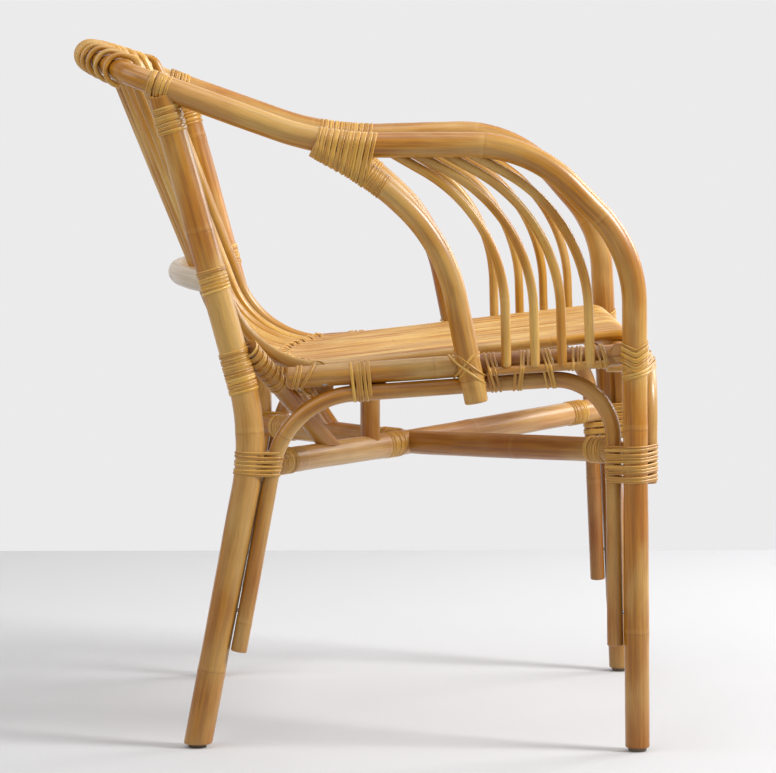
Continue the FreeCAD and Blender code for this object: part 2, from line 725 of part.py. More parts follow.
def main():
    arm = {name: make_arm_pole(side) for name, side in SIDES.items()}
    leg = {name: make_rear_leg(side) for name, side in SIDES.items()}
    support = {name: make_support(side) for name, side in SIDES.items()}
    arch = {name: make_side_arch(side) for name, side in SIDES.items()}
    rail = {name: make_side_rail(side) for name, side in SIDES.items()}
    brace = {name: make_brace(side) for name, side in SIDES.items()}
    peg = {name: make_peg(side) for name, side in SIDES.items()}
    lath = {name: make_lath(side) for name, side in SIDES.items()}
    stretcher = {name: make_stretcher(side) for name, side in SIDES.items()}
    spindles = {name: [make_spindle(side, n) for n in range(len(SPINDLE_TOPS))] for name, side in SIDES.items()}
    top_rail = make_top_rail()
    front_arch = make_front_arch()
    front_rail = make_front_rail()
    middle_rail = make_middle_rail()
    rear_rail = make_rear_rail()
    mid_rail = make_mid_rail()
    half_pitches = range(-(SLAT_COUNT // 2), SLAT_COUNT // 2 + 1)
    slats = [make_slat(number * SLAT_PITCH) for number in half_pitches]

    # Legs stand on their glides
    below = Part.makeBox(BEYOND, BEYOND, BEYOND, Vector(-BEYOND / 2, -BEYOND / 2, GLIDE_HEIGHT - BEYOND))
    glides = [make_glide(pole) for pole in (*arm.values(), *leg.values())]
    for pole in (*arm.values(), *leg.values()):
        pole.cut(below)

    # Butt joints of the arm poles and the top rail, each with a dowel
    dowels = []
    for name, side in SIDES.items():
        end = at(ARM_END, side)
        heading = unit(end - at(ARM_RISE, side))
        dowel = make_dowel(end, heading)
        dowels.append(dowel)
        past_joint = Part.makeCylinder(BESIDE, BESIDE, end - heading * FIT, heading)
        arm[name].cut(past_joint, dowel)
        before_joint = Part.makeCylinder(BESIDE, BESIDE, end + heading * FIT, heading * -1)
        top_rail.cut(before_joint, dowel)

    # Pole ends are shaped to what they meet
    for name, side in SIDES.items():
        joint = Part.makeSphere(ARM_POLE_D / 2 + LEG_TOP_ROOM, at(ARM_END, side))
        leg[name].cut(joint, arm[name].swelled(LEG_TOP_ROOM), top_rail.swelled(LEG_TOP_ROOM))
        support[name].cut(arm[name].swelled())
        rail[name].cut(front_rail.swelled())
        front_rail.cut(arm[name].swelled(CANE_ROOM))
        middle_rail.cut(rail[name].swelled())
        rear_rail.cut(rail[name].swelled())
        mid_rail.cut(leg[name].swelled(CANE_ROOM))
        brace[name].cut(leg[name].swelled(CANE_ROOM), stretcher[name].swelled())
        peg[name].cut(stretcher[name].swelled(), middle_rail.swelled())
        for spindle in spindles[name]:
            spindle.cut(arm[name].swelled(), lath[name].swelled())

    # The stretchers sit on the bindings of the legs, and are halved into each other
    other = {"right": "left", "left": "right"}
    for name in SIDES:
        rear_run = Pole([arch[name].edges[0]], SIDE_ARCH_D)
        seat_on_binding(stretcher[name], leg[name], rear_run, STRETCHER_REAR[2])
        front = other[name]
        front_run = front_arch_side(front_arch, SIDES[front])
        side_run = Pole([arch[front].edges[-1]], SIDE_ARCH_D)
        seat_on_binding(stretcher[name], side_run, front_run, STRETCHER_FRONT[2])
    crossing = at(STRETCHER_MIDDLE, 1)
    upper = Part.makeBox(BESIDE, BESIDE, BESIDE, crossing - Vector(BESIDE / 2, BESIDE / 2, 0))
    lower = upper.translated(Vector(0, 0, -BESIDE))
    passing = {name: stretcher[name].swelled() for name in SIDES}
    stretcher["right"].cut(passing["left"].common(upper))
    stretcher["left"].cut(passing["right"].common(lower))

    # Screws, each through the outer pole into the one that it holds
    screws = []

    def fasten(outer, held, place, heading):
        screw = make_screw(place - heading * (outer.diameter / 2), heading)
        outer.cut(screw)
        held.cut(screw)
        screws.append(screw)

    for name, side in SIDES.items():
        inward = Vector(0, -side, 0)
        middle_end = Vector(MIDDLE_RAIL_X, SIDE_RAIL_REAR[1] * side, under_slats(MIDDLE_RAIL_X))
        rear_end = rear_rail_point(REAR_RAIL_HALF * side) + Vector(0, (SEAT_RAIL_D / 2) * side, 0)
        for cross_rail, place in ((middle_rail, middle_end), (rear_rail, rear_end)):
            # Halfway between both axes, so that the head lies inside the side rail
            place.z = (place.z + rail_line_z(place.x)) / 2
            fasten(rail[name], cross_rail, place, inward)
        place, _ = support[name].near(0, SUPPORT_SCREW_X)
        fasten(support[name], arm[name], place, Vector(0, 0, 1))
        for pole in (leg[name], arm[name]):
            target, _ = pole.near(2, ARCH_SCREW_Z)
            place, _ = arch[name].near(2, ARCH_SCREW_Z, target)
            fasten(arch[name], pole, place, unit(target - place))

    bindings = make_bindings(arm, leg, support, arch, rail, brace, lath, stretcher, front_arch, top_rail)

    nodes = {}
    for name in SIDES:
        nodes["%s_arm_pole" % name] = [arm[name].shape]
        nodes["%s_rear_leg" % name] = [leg[name].shape]
        nodes["%s_arm_support" % name] = [support[name].shape]
        nodes["%s_side_arch" % name] = [arch[name].shape]
        nodes["%s_seat_rail" % name] = [rail[name].shape]
        nodes["%s_knee_brace" % name] = [brace[name].shape]
        nodes["%s_seat_peg" % name] = [peg[name].shape]
        nodes["%s_spindle_lath" % name] = [lath[name].shape]
        nodes["%s_spindles" % name] = [spindle.shape for spindle in spindles[name]]
        nodes["%s_rear_stretcher" % name] = [stretcher[name].shape]
    nodes["top_rail"] = [top_rail.shape]
    nodes["front_arch"] = [front_arch.shape]
    nodes["front_seat_rail"] = [front_rail.shape]
    nodes["middle_seat_rail"] = [middle_rail.shape]
    nodes["rear_seat_rail"] = [rear_rail.shape]
    nodes["mid_back_rail"] = [mid_rail.shape]
    for number, slat in enumerate(slats, 1):
        nodes["slat_%02d" % number] = [slat.shape]
    nodes["foot_glides"] = glides
    nodes["joint_dowels"] = dowels
    nodes["frame_screws"] = screws
    nodes.update(bindings)
    export(nodes)
    print("%d nodes, least gap of a strand to itself %.2f mm" % (len(nodes), min(least_gaps)))


def make_bindings(arm, leg, support, arch, rail, brace, lath, stretcher, front_arch, top_rail):
    """All cane bindings, with the right and left ones of a joint in one node."""
    found = {}

    def add(name, *strands):
        found.setdefault(name + "_bindings", []).extend(strands)

    for name, side in SIDES.items():
        add("arm_support", wrap([arm[name], support[name]], 0, ARM_SUPPORT_WOUND_X, GROUP_PITCH))
        add("arm_support", wrap([support[name]], 2, SUPPORT_COLLAR_Z))
        add("top_corner", corner_winding(arm[name], top_rail, side), wrap([leg[name]], 2, LEG_TOP_WOUND_Z))
        add("mid_rail", wrap([leg[name]], 2, MID_RAIL_WOUND_Z))
        add("knee", wrap([leg[name]], 2, KNEE_WOUND_Z))
        add("brace", wrap([brace[name]], 2, BRACE_WOUND_Z))
        add("seat_corner", wrap([rail[name]], 0, SEAT_CORNER_WOUND_X, CORNER_PITCH))
        add("rail_arch", wrap([rail[name], arch[name]], 0, RAIL_ARCH_WOUND_X, GROUP_PITCH))
        for right_x in LASHING_XS:
            x = right_x + spindles_ahead(side)
            if x + LASHING_HALF > LATH_FRONT[0]:
                continue
            bound = [rail[name], lath[name]]
            if right_x < ARCH_LASHED_TO_X:
                bound.append(arch[name])
            add("spindle", wrap(bound, 0, (x - LASHING_HALF, x + LASHING_HALF)))
        crossing = Vector(SUPPORT_CROSSING_X, SUPPORT_CROSSING_Y * side, rail_line_z(SUPPORT_CROSSING_X))
        diagonals = (unit(Vector(1, 0, 1)), unit(Vector(1, 0, -1)))
        support_foot = Pole([support[name].edges[-1]], SUPPORT_D)
        strands = crossed_lashing(crossing, [rail[name], support_foot], diagonals)
        arch[name].cut(*strands)
        add("support_foot", *strands)
        add("front_seat", wrap([arm[name]], 2, FRONT_SEAT_WOUND_Z))
        uprights = [arm[name], arch[name], front_arch_side(front_arch, side)]
        add("front_leg", wrap(uprights, 2, FRONT_LEG_WOUND_Z, GROUP_PITCH))
        add("rear_leg", wrap([leg[name], arch[name]], 2, REAR_LEG_WOUND_Z, GROUP_PITCH))
        add("stretcher_end", *[wrap([stretcher[name]], 0, span) for span in STRETCHER_WOUND_X])
    spread = Vector(CROSSING_SPREAD, 0, 0)
    across = Vector(0, STRETCHER_D / 2, 0)
    middle = at(STRETCHER_MIDDLE, 1)
    centres = (middle + spread, middle - spread)
    lobes = [(centre - across, centre + across, STRETCHER_D / 2) for centre in centres]
    add("crossing", winding(lobes, CROSSING_TURNS))
    return found


def corner_winding(arm, top_rail, side):
    """The binding over the butt joint of an arm pole and the top rail."""
    before, after = TOP_CORNER_WOUND_X
    begin, _ = arm.near(0, before, at(ARM_END, side))
    finish, _ = top_rail.near(0, after, at(ARM_END, side))
    turns = round((finish - begin).Length / CANE_PITCH)
    return winding([(begin, finish, ARM_POLE_D / 2 + TOP_CORNER_ROOM)], turns)


def front_arch_side(front_arch, side):
    """The upright run of the front arch on one side, long enough to be wound."""
    run = front_arch.edges[0] if side < 0 else front_arch.edges[-1]
    return Pole([run], FRONT_ARCH_D)


if __name__ == "__main__":
    main()
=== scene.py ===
"""Rattan armchair: bent poles, wrapped slats and split-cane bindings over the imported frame.

Sizes are in millimetres in the chair's own places (X to the front, Y to the sitter's left, Z up) and
become metres in the frame's place when a mesh is made.
"""
from __future__ import annotations

import logging
import math
from dataclasses import dataclass, field
from enum import Enum
from typing import Callable, Sequence

import bpy
import numpy as np
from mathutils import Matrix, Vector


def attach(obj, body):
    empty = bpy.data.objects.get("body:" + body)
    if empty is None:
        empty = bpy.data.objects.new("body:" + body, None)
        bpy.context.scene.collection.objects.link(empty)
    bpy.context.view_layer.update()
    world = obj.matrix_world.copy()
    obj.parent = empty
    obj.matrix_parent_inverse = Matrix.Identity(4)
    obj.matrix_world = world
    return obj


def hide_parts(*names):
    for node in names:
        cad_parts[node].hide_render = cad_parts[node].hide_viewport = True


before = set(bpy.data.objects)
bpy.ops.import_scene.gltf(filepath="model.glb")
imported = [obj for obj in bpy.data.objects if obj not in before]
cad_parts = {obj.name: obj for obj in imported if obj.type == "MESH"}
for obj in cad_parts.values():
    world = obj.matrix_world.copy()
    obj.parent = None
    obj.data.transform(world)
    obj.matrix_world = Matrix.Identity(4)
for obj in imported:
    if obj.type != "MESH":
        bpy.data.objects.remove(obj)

LOG = logging.getLogger("rattan_chair")
Array = np.ndarray
Place = Sequence[float]

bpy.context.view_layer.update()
MM = 0.001
CENTRE_SHIFT = np.array([-10.0, 0.0, 0.0])
X_AXIS, Y_AXIS, Z_AXIS = np.eye(3)
FAR_FROM_RING = 99.0


class Side(Enum):
    """Sitter's right or left, as the sign of Y."""

    RIGHT = -1.0
    LEFT = 1.0

    @property
    def word(self) -> str:
        """Name of the side as it stands in the nodes' names."""
        return self.name.lower()

    def at(self, place: Place) -> Array:
        """Turns (X, distance from the middle, Z) into a point on this side."""
        return np.array([place[0], place[1] * self.value, place[2]])


# Paths


def unit(v: Array) -> Array:
    """Vectors divided by their own length.

    Args:
        v: One vector or an array of vectors.

    Returns:
        The same array with every vector of length one.
    """
    return v / np.linalg.norm(v, axis=-1, keepdims=True)


def smooth(x: Array) -> Array:
    """Smooth step from 0 to 1: three x squared minus two x cubed, held at both ends."""
    x = np.clip(x, 0.0, 1.0)
    return x * x * (3.0 - 2.0 * x)


def swung(angle: Array) -> Array:
    """Directions in the upright plane from back to front: cosine along X plus sine along Z."""
    return np.cos(angle)[:, None] * X_AXIS + np.sin(angle)[:, None] * Z_AXIS


def arc(start: Array, corner: Array, end: Array, step: float = 2.0) -> Array:
    """Points of the arc from start to end whose end tangents meet at the corner.

    The centre lies square to the first tangent at a distance of reach over the tangent of half the
    turn, and a point is centre minus inward times radius cosine plus tangent times radius sine.

    Args:
        start: First point.
        corner: Where the tangents meet, as far from start as from end.
        end: Last point.
        step: Distance between points.

    Returns:
        Points in order, both ends included.
    """
    first, last = unit(corner - start), unit(end - corner)
    turn = math.acos(float(np.clip(first @ last, -1.0, 1.0)))
    if turn < 1e-4:
        return np.stack([start, end])
    radius = float(np.linalg.norm(corner - start)) / math.tan(turn / 2)
    inward = unit(last - first * (first @ last))
    angle = np.linspace(0.0, turn, max(6, int(radius * turn / step)) + 1)[:, None]
    return start + inward * radius * (1.0 - np.cos(angle)) + first * radius * np.sin(angle)


def rounded(points: Sequence[Array], bends: Sequence[float]) -> Array:
    """Straight runs through some points with a tangent arc at each inner one.

    Args:
        points: Corners of the route with its two ends.
        bends: Radius at each inner corner.

    Returns:
        Points of the whole route.
    """
    runs = [np.asarray(points[0], float)[None]]
    for index, radius in enumerate(bends, 1):
        corner = points[index]
        before, after = unit(corner - points[index - 1]), unit(points[index + 1] - corner)
        reach = radius * math.tan(math.acos(float(before @ after)) / 2)
        runs.append(arc(corner - before * reach, corner, corner + after * reach))
    runs.append(np.asarray(points[-1], float)[None])
    return np.concatenate(runs)


class Path:
    """A line through space with evenly spaced points."""

    def __init__(self, points: Array, step: float = 5.0) -> None:
        """Spaces the given points evenly.

        Args:
            points: Points of a route in order.
            step: Distance between the new points.
        """
        steps = np.linalg.norm(np.diff(points, axis=0), axis=1)
        keep = np.concatenate([[True], steps > 1e-6])
        points = points[keep]
        length = np.concatenate([[0.0], np.cumsum(steps[steps > 1e-6])])
        self.along = np.linspace(0.0, length[-1], max(2, int(round(length[-1] / step))) + 1)
        self.points = np.stack([np.interp(self.along, length, column) for column in points.T], 1)
        self.tangent = unit(np.gradient(self.points, self.along, axis=0))

    def read(self, values: Array, along: Array) -> Array:
        """Columns of values, which belong to this path's points, at other lengths along it."""
        return np.stack([np.interp(along, self.along, column) for column in values.T], 1)

    def spot(self, axis: int, value: float, beside: Array | None = None, within: float = 70.0) -> Array:
        """Point where one coordinate comes nearest to a value.

        Args:
            axis: 0, 1 or 2 for X, Y or Z.
            value: The coordinate's value.
            beside: Only points near this one count.
            within: How near that is.

        Returns:
            The point.
        """
        miss = np.abs(self.points[:, axis] - value)
        if beside is not None:
            miss = np.where(np.linalg.norm(self.points - beside, axis=1) < within, miss, np.inf)
        index = int(np.clip(miss.argmin(), 1, len(miss) - 2))
        heading = self.tangent[index]
        return self.points[index] + heading * ((value - self.points[index, axis]) / heading[axis])


# Surfaces


@dataclass
class Surface:
    """Vertices, faces and what the materials read at each vertex."""

    verts: Array
    quads: Array
    tris: Array
    unbent: Array
    mark: Array
    edge: Array


def ring_faces(rings: int, sides: int) -> Array:
    """Quads between neighbouring closed rings: each joins side j and j + 1 of ring i and i + 1."""
    i, j = np.meshgrid(np.arange(rings - 1), np.arange(sides), indexing="ij")
    after = (j + 1) % sides
    ring, next_ring = i * sides, (i + 1) * sides
    return np.stack([ring + j, ring + after, next_ring + after, next_ring + j], -1).reshape(-1, 4)


def cap_faces(rings: int, sides: int) -> Array:
    """Fans that close the first and last ring onto the two vertices after all rings."""
    j = np.arange(sides)
    after = (j + 1) % sides
    last = (rings - 1) * sides
    first_fan = np.stack([np.full(sides, rings * sides), after, j], -1)
    last_fan = np.stack([np.full(sides, rings * sides + 1), last + j, last + after], -1)
    return np.concatenate([first_fan, last_fan])


@dataclass
class Rod:
    """A rattan pole: a round section carried along a path.

    Attributes:
        path: Middle line.
        diameter: Size of the section.
        face: Direction that the section's first axis is turned to.
        seed: Fixes this pole's own growth nodes and unevenness.
        sides: Corners of the section.
        rounding: Edge radius at both ends.
        planes: Normal of a slanting cut at either end.
        section: Half widths across and through the pole at lengths along it, where it isn't round.
        swell: How much thicker the growth nodes are, as a share.
    """

    path: Path
    diameter: float
    face: Array
    seed: int
    sides: int = 28
    rounding: tuple[float, float] = (1.6, 1.6)
    planes: tuple[Array | None, Array | None] = (None, None)
    section: Callable[[Array], Array] | None = None
    swell: float = 0.02

    def surface(self) -> Surface:
        """The pole's skin.

        A point is the middle line plus cosine times half width along the first axis plus sine times
        half depth along the second. The half sizes swell as a bell curve at growth nodes, waver
        slowly and shrink along a quarter circle at the ends. A slanting cut slides a ring's points
        along the pole until the end ring lies in the cut's plane.

        Returns:
            The closed surface.
        """
        rng = np.random.default_rng(self.seed)
        length = self.path.along[-1]
        lead = [edge * (1.0 - np.sin(np.linspace(math.pi / 2, 0.0, 5))) for edge in self.rounding]
        drop = [edge * (1.0 - np.cos(np.linspace(math.pi / 2, 0.0, 5))) for edge in self.rounding]
        inner = self.path.along
        inner = inner[(inner > lead[0][-1] + 0.5) & (inner < length - lead[1][-1] - 0.5)]
        along = np.concatenate([lead[0], inner, length - lead[1][::-1]])
        inset = np.concatenate([drop[0], np.zeros(len(inner)), drop[1][::-1]])
        centre = self.path.read(self.path.points, along)
        heading = unit(self.path.read(self.path.tangent, along))
        first = unit(self.face - heading * (heading @ self.face)[:, None])
        second = np.cross(heading, first)

        marks = np.cumsum(rng.uniform(150.0, 290.0, 14)) - rng.uniform(20.0, 200.0)
        gaps = along[:, None] - marks
        mark = gaps[np.arange(len(along)), np.abs(gaps).argmin(1)]
        waver = 0.012 * np.sin(along * 2 * math.pi / rng.uniform(190.0, 330.0) + rng.uniform(0, 6))
        waver += 0.006 * np.sin(along * 2 * math.pi / rng.uniform(70.0, 120.0) + rng.uniform(0, 6))
        grow = 1.0 + self.swell * np.exp(-((mark / 7.0) ** 2)) + waver * (self.swell / 0.02)
        half = self.section(along) if self.section else np.full((len(along), 2), self.diameter / 2)
        half = half * grow[:, None] - inset[:, None]

        angle = np.linspace(0.0, 2 * math.pi, self.sides, endpoint=False)
        oval = 1.0 + 0.012 * np.cos(2 * angle + rng.uniform(0, 6))
        across = half[:, :1] * np.cos(angle) * oval
        through = half[:, 1:] * np.sin(angle) * oval
        offset = across[..., None] * first[:, None] + through[..., None] * second[:, None]
        for normal, reach in zip(self.planes, (along, length - along)):
            if normal is not None:
                slide = -(offset @ normal) / (heading @ normal)[:, None]
                fade = np.clip(1.0 - reach / (4.0 * self.diameter), 0.0, 1.0)
                offset = offset + heading[:, None] * (slide * fade[:, None])[..., None]
        verts = centre[:, None] + offset
        ends = np.stack([verts[0].mean(0), verts[-1].mean(0)])
        rings, sides = across.shape
        started = self.seed * 1.37
        unbent = np.stack([across, through, np.broadcast_to(along[:, None], across.shape)], -1)
        caps = np.array([[0.0, 0.0, 0.0], [0.0, 0.0, length]])
        flat_edge = np.zeros((rings, sides))
        flat_edge[[0, -1]] = 1.0
        return Surface(
            verts=np.concatenate([verts.reshape(-1, 3), ends]),
            quads=ring_faces(rings, sides),
            tris=cap_faces(rings, sides),
            unbent=np.concatenate([unbent.reshape(-1, 3), caps]) * MM + [0.0, 0.0, started],
            mark=np.concatenate([np.repeat(mark, sides), [FAR_FROM_RING, FAR_FROM_RING]]),
            edge=np.concatenate([flat_edge.reshape(-1), [1.0, 1.0]]),
        )


# Cane strips

STRIP_LIFT = 0.15
LAYER_RISE = 0.9
BOUND_REACH = 110.0
LONE_ROD_TOWARD = np.array([0.35, 0.9, 0.25])


def hull_loop(ovals: Array, count: int) -> tuple[Array, Array]:
    """One turn of a tight band round some ovals of a section.

    For each direction the band touches the oval that reaches furthest, where reach is centre dot
    direction plus the root of (half width times x) squared plus (half depth times y) squared. The
    touching points are then spaced evenly along the band.

    Args:
        ovals: Rows of centre x, centre y, half width, half depth.
        count: Points in the turn.

    Returns:
        Points and outward directions, with the first repeated at the end.
    """
    angle = np.linspace(0.0, 2 * math.pi, 1441)
    way = np.stack([np.cos(angle), np.sin(angle)], 1)
    size = np.sqrt((way ** 2) @ (ovals[:, 2:] ** 2).T)
    best = (way @ ovals[:, :2].T + size).argmax(1)
    touch = ovals[best, :2] + way * ovals[best, 2:] ** 2 / size[np.arange(len(way)), best][:, None]
    length = np.concatenate([[0.0], np.cumsum(np.linalg.norm(np.diff(touch, axis=0), axis=1))])
    spaced = np.linspace(0.0, length[-1], count + 1)
    table = np.concatenate([touch, way], 1)
    table = np.stack([np.interp(spaced, length, column) for column in table.T], 1)
    return table[:, :2], unit(table[:, 2:])


@dataclass
class Strip:
    """A flat strip of split cane wound in turns round ovals that may move along the winding.

    Attributes:
        middle: Middle of the winding.
        heading: Direction in which the turns advance.
        first: First direction square to the heading.
        ovals: Gives the ovals of the section at a length along the heading.
        turns: Number of turns.
        pitch: Advance of each turn.
        width: Width of the strip.
        lean: Slant of every turn, as advance along the heading per offset in space.
        vee: Direction to whose two sides every turn climbs, with the climb per offset as its length.
        lift: Room under the strip.
        seed: Fixes its own unevenness.
        shade: How much darker it is than other strips, as painted shade on the bindings low down and under
            the seat, for the light that falls from above.
        thickness: Thickness of the strip.
        count: Points in a turn.
        dive_share: Part of a turn in which an end dives under.
        dive_depth: How deep it dives.
    """

    middle: Array
    heading: Array
    first: Array
    ovals: Callable[[float], Array]
    turns: int
    pitch: float
    width: float
    lean: Array = field(default_factory=lambda: np.zeros(3))
    vee: Array = field(default_factory=lambda: np.zeros(3))
    lift: float = STRIP_LIFT
    seed: int = 1
    shade: float = 0.0
    thickness: float = 0.95
    count: int = 44
    dive_share: float = 0.16
    dive_depth: float = 1.6

    def surface(self) -> Surface:
        """The strip's skin.

        The strip's line goes from the band of one turn to the band of the next in proportion to the
        share of the turn that is done, while it advances by the pitch. Its two ends dive under by a
        smooth step. The section is a crowned strip of eight corners.

        Returns:
            The closed surface.
        """
        rng = np.random.default_rng(self.seed)
        second = np.cross(self.heading, self.first)
        reach = self.turns * self.pitch
        starts = np.arange(self.turns + 1) * self.pitch - reach / 2
        loops = [hull_loop(self.ovals(float(along)), self.count) for along in starts]
        points, ways = (np.stack(group) for group in zip(*loops))
        k = np.arange(self.turns * self.count + 1)
        turn = np.minimum(k // self.count, self.turns - 1)
        place = k - turn * self.count
        share = (place / self.count)[:, None]
        flat = points[turn, place] * (1 - share) + points[turn + 1, place] * share
        way = unit(ways[turn, place] * (1 - share) + ways[turn + 1, place] * share)
        flat = flat + way * self.lift

        done = k / self.count
        drift = 0.2 * self.pitch * np.sin(done * rng.uniform(2.0, 3.4) + rng.uniform(0, 6))
        lateral = flat[:, :1] * self.first + flat[:, 1:] * second
        aside = lateral - lateral.mean(0)
        along = done * self.pitch - reach / 2 + drift + aside @ self.lean + np.abs(aside @ self.vee)
        line = self.middle + lateral + along[:, None] * self.heading
        outward = way[:, :1] * self.first + way[:, 1:] * second
        dive = 2 - smooth(done / self.dive_share) - smooth((self.turns - done) / self.dive_share)
        line = line - outward * (self.dive_depth * dive)[:, None]

        tangent = unit(np.gradient(line, axis=0))
        outward = unit(outward - tangent * (outward * tangent).sum(1)[:, None])
        sideways = np.cross(tangent, outward)
        half = self.width / 2
        profile = np.array([(-1.0, 0.1), (-0.85, -0.12), (0.85, -0.12), (1.0, 0.1),
                            (0.85, 0.6), (0.4, 0.98), (-0.4, 0.98), (-0.85, 0.6)])
        ease = 0.95 + 0.1 * np.sin(done * 1.9 + rng.uniform(0, 6))
        across = profile[:, 0] * half * ease[:, None]
        above = np.broadcast_to(profile[:, 1] * self.thickness, across.shape)
        verts = line[:, None] + across[..., None] * sideways[:, None] + above[..., None] * outward[:, None]
        rings, sides = across.shape
        run = np.concatenate([[0.0], np.cumsum(np.linalg.norm(np.diff(line, axis=0), axis=1))])
        unbent = np.stack([across, above, np.broadcast_to(run[:, None], across.shape)], -1).reshape(-1, 3)
        # The strip's rims take the cut colour: partly the paler core of split cane, partly a painted
        # highlight where the rims catch the light.
        rim = np.broadcast_to(np.clip((np.abs(profile[:, 0]) - 0.4) / 0.5, 0, 1), across.shape).reshape(-1)
        tone = np.interp(done, np.arange(self.turns + 1), rng.uniform(-1.2, 1.4, self.turns + 1))
        # Painted shade: the shade value darkens the lower bindings for the light that falls from above; the
        # rest of the tone varies at random from turn to turn.
        tone += self.shade
        return Surface(
            verts=np.concatenate([verts.reshape(-1, 3), verts[[0, -1]].mean(1)]),
            quads=ring_faces(rings, sides),
            tris=cap_faces(rings, sides),
            unbent=np.concatenate([unbent, unbent[[0, -1]]]) * MM + [0.0, 0.0, self.seed * 0.731],
            mark=np.concatenate([np.repeat(tone, sides), tone[[0, -1]]]),
            edge=np.concatenate([rim, [1.0, 1.0]]),
        )


def wound(rods: Sequence[Rod], axis: int, span: tuple[float, float], seed: int, width: float = 3.7,
          lean: Place = (0.0, 0.0, 0.0), vee: Place = (0.0, 0.0, 0.0), lift: float = STRIP_LIFT,
          turns: int = 0, shade: float = 0.0) -> Strip:
    """A strip wound round rods that run side by side.

    Args:
        rods: Rods that are bound, of which the first one sets the winding's direction.
        axis: Coordinate, 0 to 2, that the span is measured on.
        span: Where the winding begins and ends.
        seed: Fixes its own unevenness.
        width: Width of the strip.
        lean: Slant of the turns.
        vee: Climb of the turns to both sides of a direction.
        lift: Room under the strip.
        turns: Number of turns, or 0 for as many as lie side by side.
        shade: How much darker it is than other strips, as painted shade on the bindings low down and under
            the seat.

    Returns:
        The strip.
    """
    beside = rods[0].path.spot(axis, sum(span) / 2)
    begin, finish = (rods[0].path.spot(axis, value, beside) for value in span)
    heading, middle = unit(finish - begin), (begin + finish) / 2
    reach = float(np.linalg.norm(finish - begin))
    turns = turns or max(2, round(reach / width))
    near = []
    for rod in rods:
        local = rod.path.points[np.linalg.norm(rod.path.points - middle, axis=1) < BOUND_REACH] - middle
        near.append((local[np.argsort(local @ heading)], rod.diameter / 2))
    toward = LONE_ROD_TOWARD
    if len(near) > 1:
        toward = near[1][0][np.abs(near[1][0] @ heading).argmin()]
    first = unit(toward - heading * (toward @ heading))
    second = np.cross(heading, first)

    def ovals(along: float) -> Array:
        """Round sections of the rods where a plane square to the winding cuts them."""
        rows = []
        for local, radius in near:
            x, y = (np.interp(along, local @ heading, local @ way) for way in (first, second))
            rows.append((x, y, radius, radius))
        return np.array(rows)

    return Strip(middle, heading, first, ovals, turns, reach / turns, width, np.array(lean), np.array(vee),
                 lift, seed, shade)


def crossed(centre: Array, rods: Sequence[tuple[Array, Array, float]], seed: int, width: float = 3.2,
            turns: int = 2) -> list[Strip]:
    """Two strips that cross over a joint of two rods in an X.

    Args:
        centre: Middle of the joint.
        rods: Point on the axis, direction and radius of each rod.
        seed: Fixes the strips' own unevenness.
        width: Width of the strips.
        turns: Turns of each strip.

    Returns:
        Both strips.
    """
    strips = []
    for layer, sign in enumerate((1.0, -1.0)):
        heading = unit(rods[0][1] + sign * rods[1][1])
        first = unit(rods[0][1] - heading * (rods[0][1] @ heading))
        second = np.cross(heading, first)

        def ovals(along: float, heading: Array = heading, first: Array = first,
                  second: Array = second) -> Array:
            """Oval sections of both rods, longer where the plane cuts a rod aslant."""
            rows = []
            for point, way, radius in rods:
                slant = float(way @ heading)
                spot = point + way * ((along - (point - centre) @ heading) / slant) - centre
                rows.append((spot @ first, spot @ second, radius / abs(slant), radius))
            return np.array(rows)

        strips.append(Strip(centre, heading, first, ovals, turns, width * 1.12, width,
                            lift=STRIP_LIFT + layer * LAYER_RISE, seed=seed + layer))
    return strips


# Node groups and finishes


def linear(red: int, green: int, blue: int) -> tuple[float, float, float, float]:
    """Screen colour of 0 to 255 as the scene's linear colour."""
    share = np.array([red, green, blue]) / 255.0
    value = np.where(share <= 0.04045, share / 12.92, ((share + 0.055) / 1.055) ** 2.4)
    return (*value.tolist(), 1.0)


class NodeSheet:
    """Small helper that adds nodes to a tree and links them."""

    def __init__(self, tree: bpy.types.NodeTree) -> None:
        """Keeps the tree.

        Args:
            tree: Node tree of a material or a group.
        """
        self.tree = tree

    def add(self, kind: str, inputs: dict[str | int, object] | None = None,
            **settings: object) -> bpy.types.Node:
        """Adds a node.

        Args:
            kind: Blender's name of the node type.
            inputs: Socket to a value, or to an output socket that is linked to it.
            settings: Properties of the node.

        Returns:
            The node.
        """
        node = self.tree.nodes.new(kind)
        for name, value in settings.items():
            setattr(node, name, value)
        for socket, value in (inputs or {}).items():
            self.set(node.inputs[socket], value)
        return node

    def set(self, socket: bpy.types.NodeSocket, value: object) -> None:
        """Links an output to the input socket, or sets the socket to a plain value."""
        if isinstance(value, bpy.types.NodeSocket):
            self.tree.links.new(value, socket)
        else:
            socket.default_value = value

    def math(self, operation: str, *values: object) -> bpy.types.NodeSocket:
        """Output of a math node on one to three values."""
        return self.add("ShaderNodeMath", dict(enumerate(values)), operation=operation).outputs[0]

    def span(self, value: object, low: float, high: float, out_low: float = 0.0,
             out_high: float = 1.0) -> bpy.types.NodeSocket:
        """Value mapped smoothly from one range to another and held at its ends."""
        inputs = {"Value": value, "From Min": low, "From Max": high, "To Min": out_low, "To Max": out_high}
        return self.add("ShaderNodeMapRange", inputs, interpolation_type="SMOOTHSTEP").outputs[0]

    def mix(self, share: object, a: object, b: object) -> bpy.types.NodeSocket:
        """Two colours mixed by a share."""
        node = self.add("ShaderNodeMix", data_type="RGBA")
        for socket, value in zip((node.inputs[0], node.inputs[6], node.inputs[7]), (share, a, b)):
            self.set(socket, value)
        return node.outputs[2]

    def noise(self, vector: object, stretch: Place, scale: float,
              detail: float = 2.0) -> bpy.types.NodeSocket:
        """Noise of 0 to 1 on a vector that is stretched first."""
        moved = self.add("ShaderNodeVectorMath", {0: vector, 1: tuple(stretch)}, operation="MULTIPLY")
        inputs = {"Vector": moved.outputs[0], "Scale": scale, "Detail": detail}
        return self.add("ShaderNodeTexNoise", inputs).outputs["Fac"]


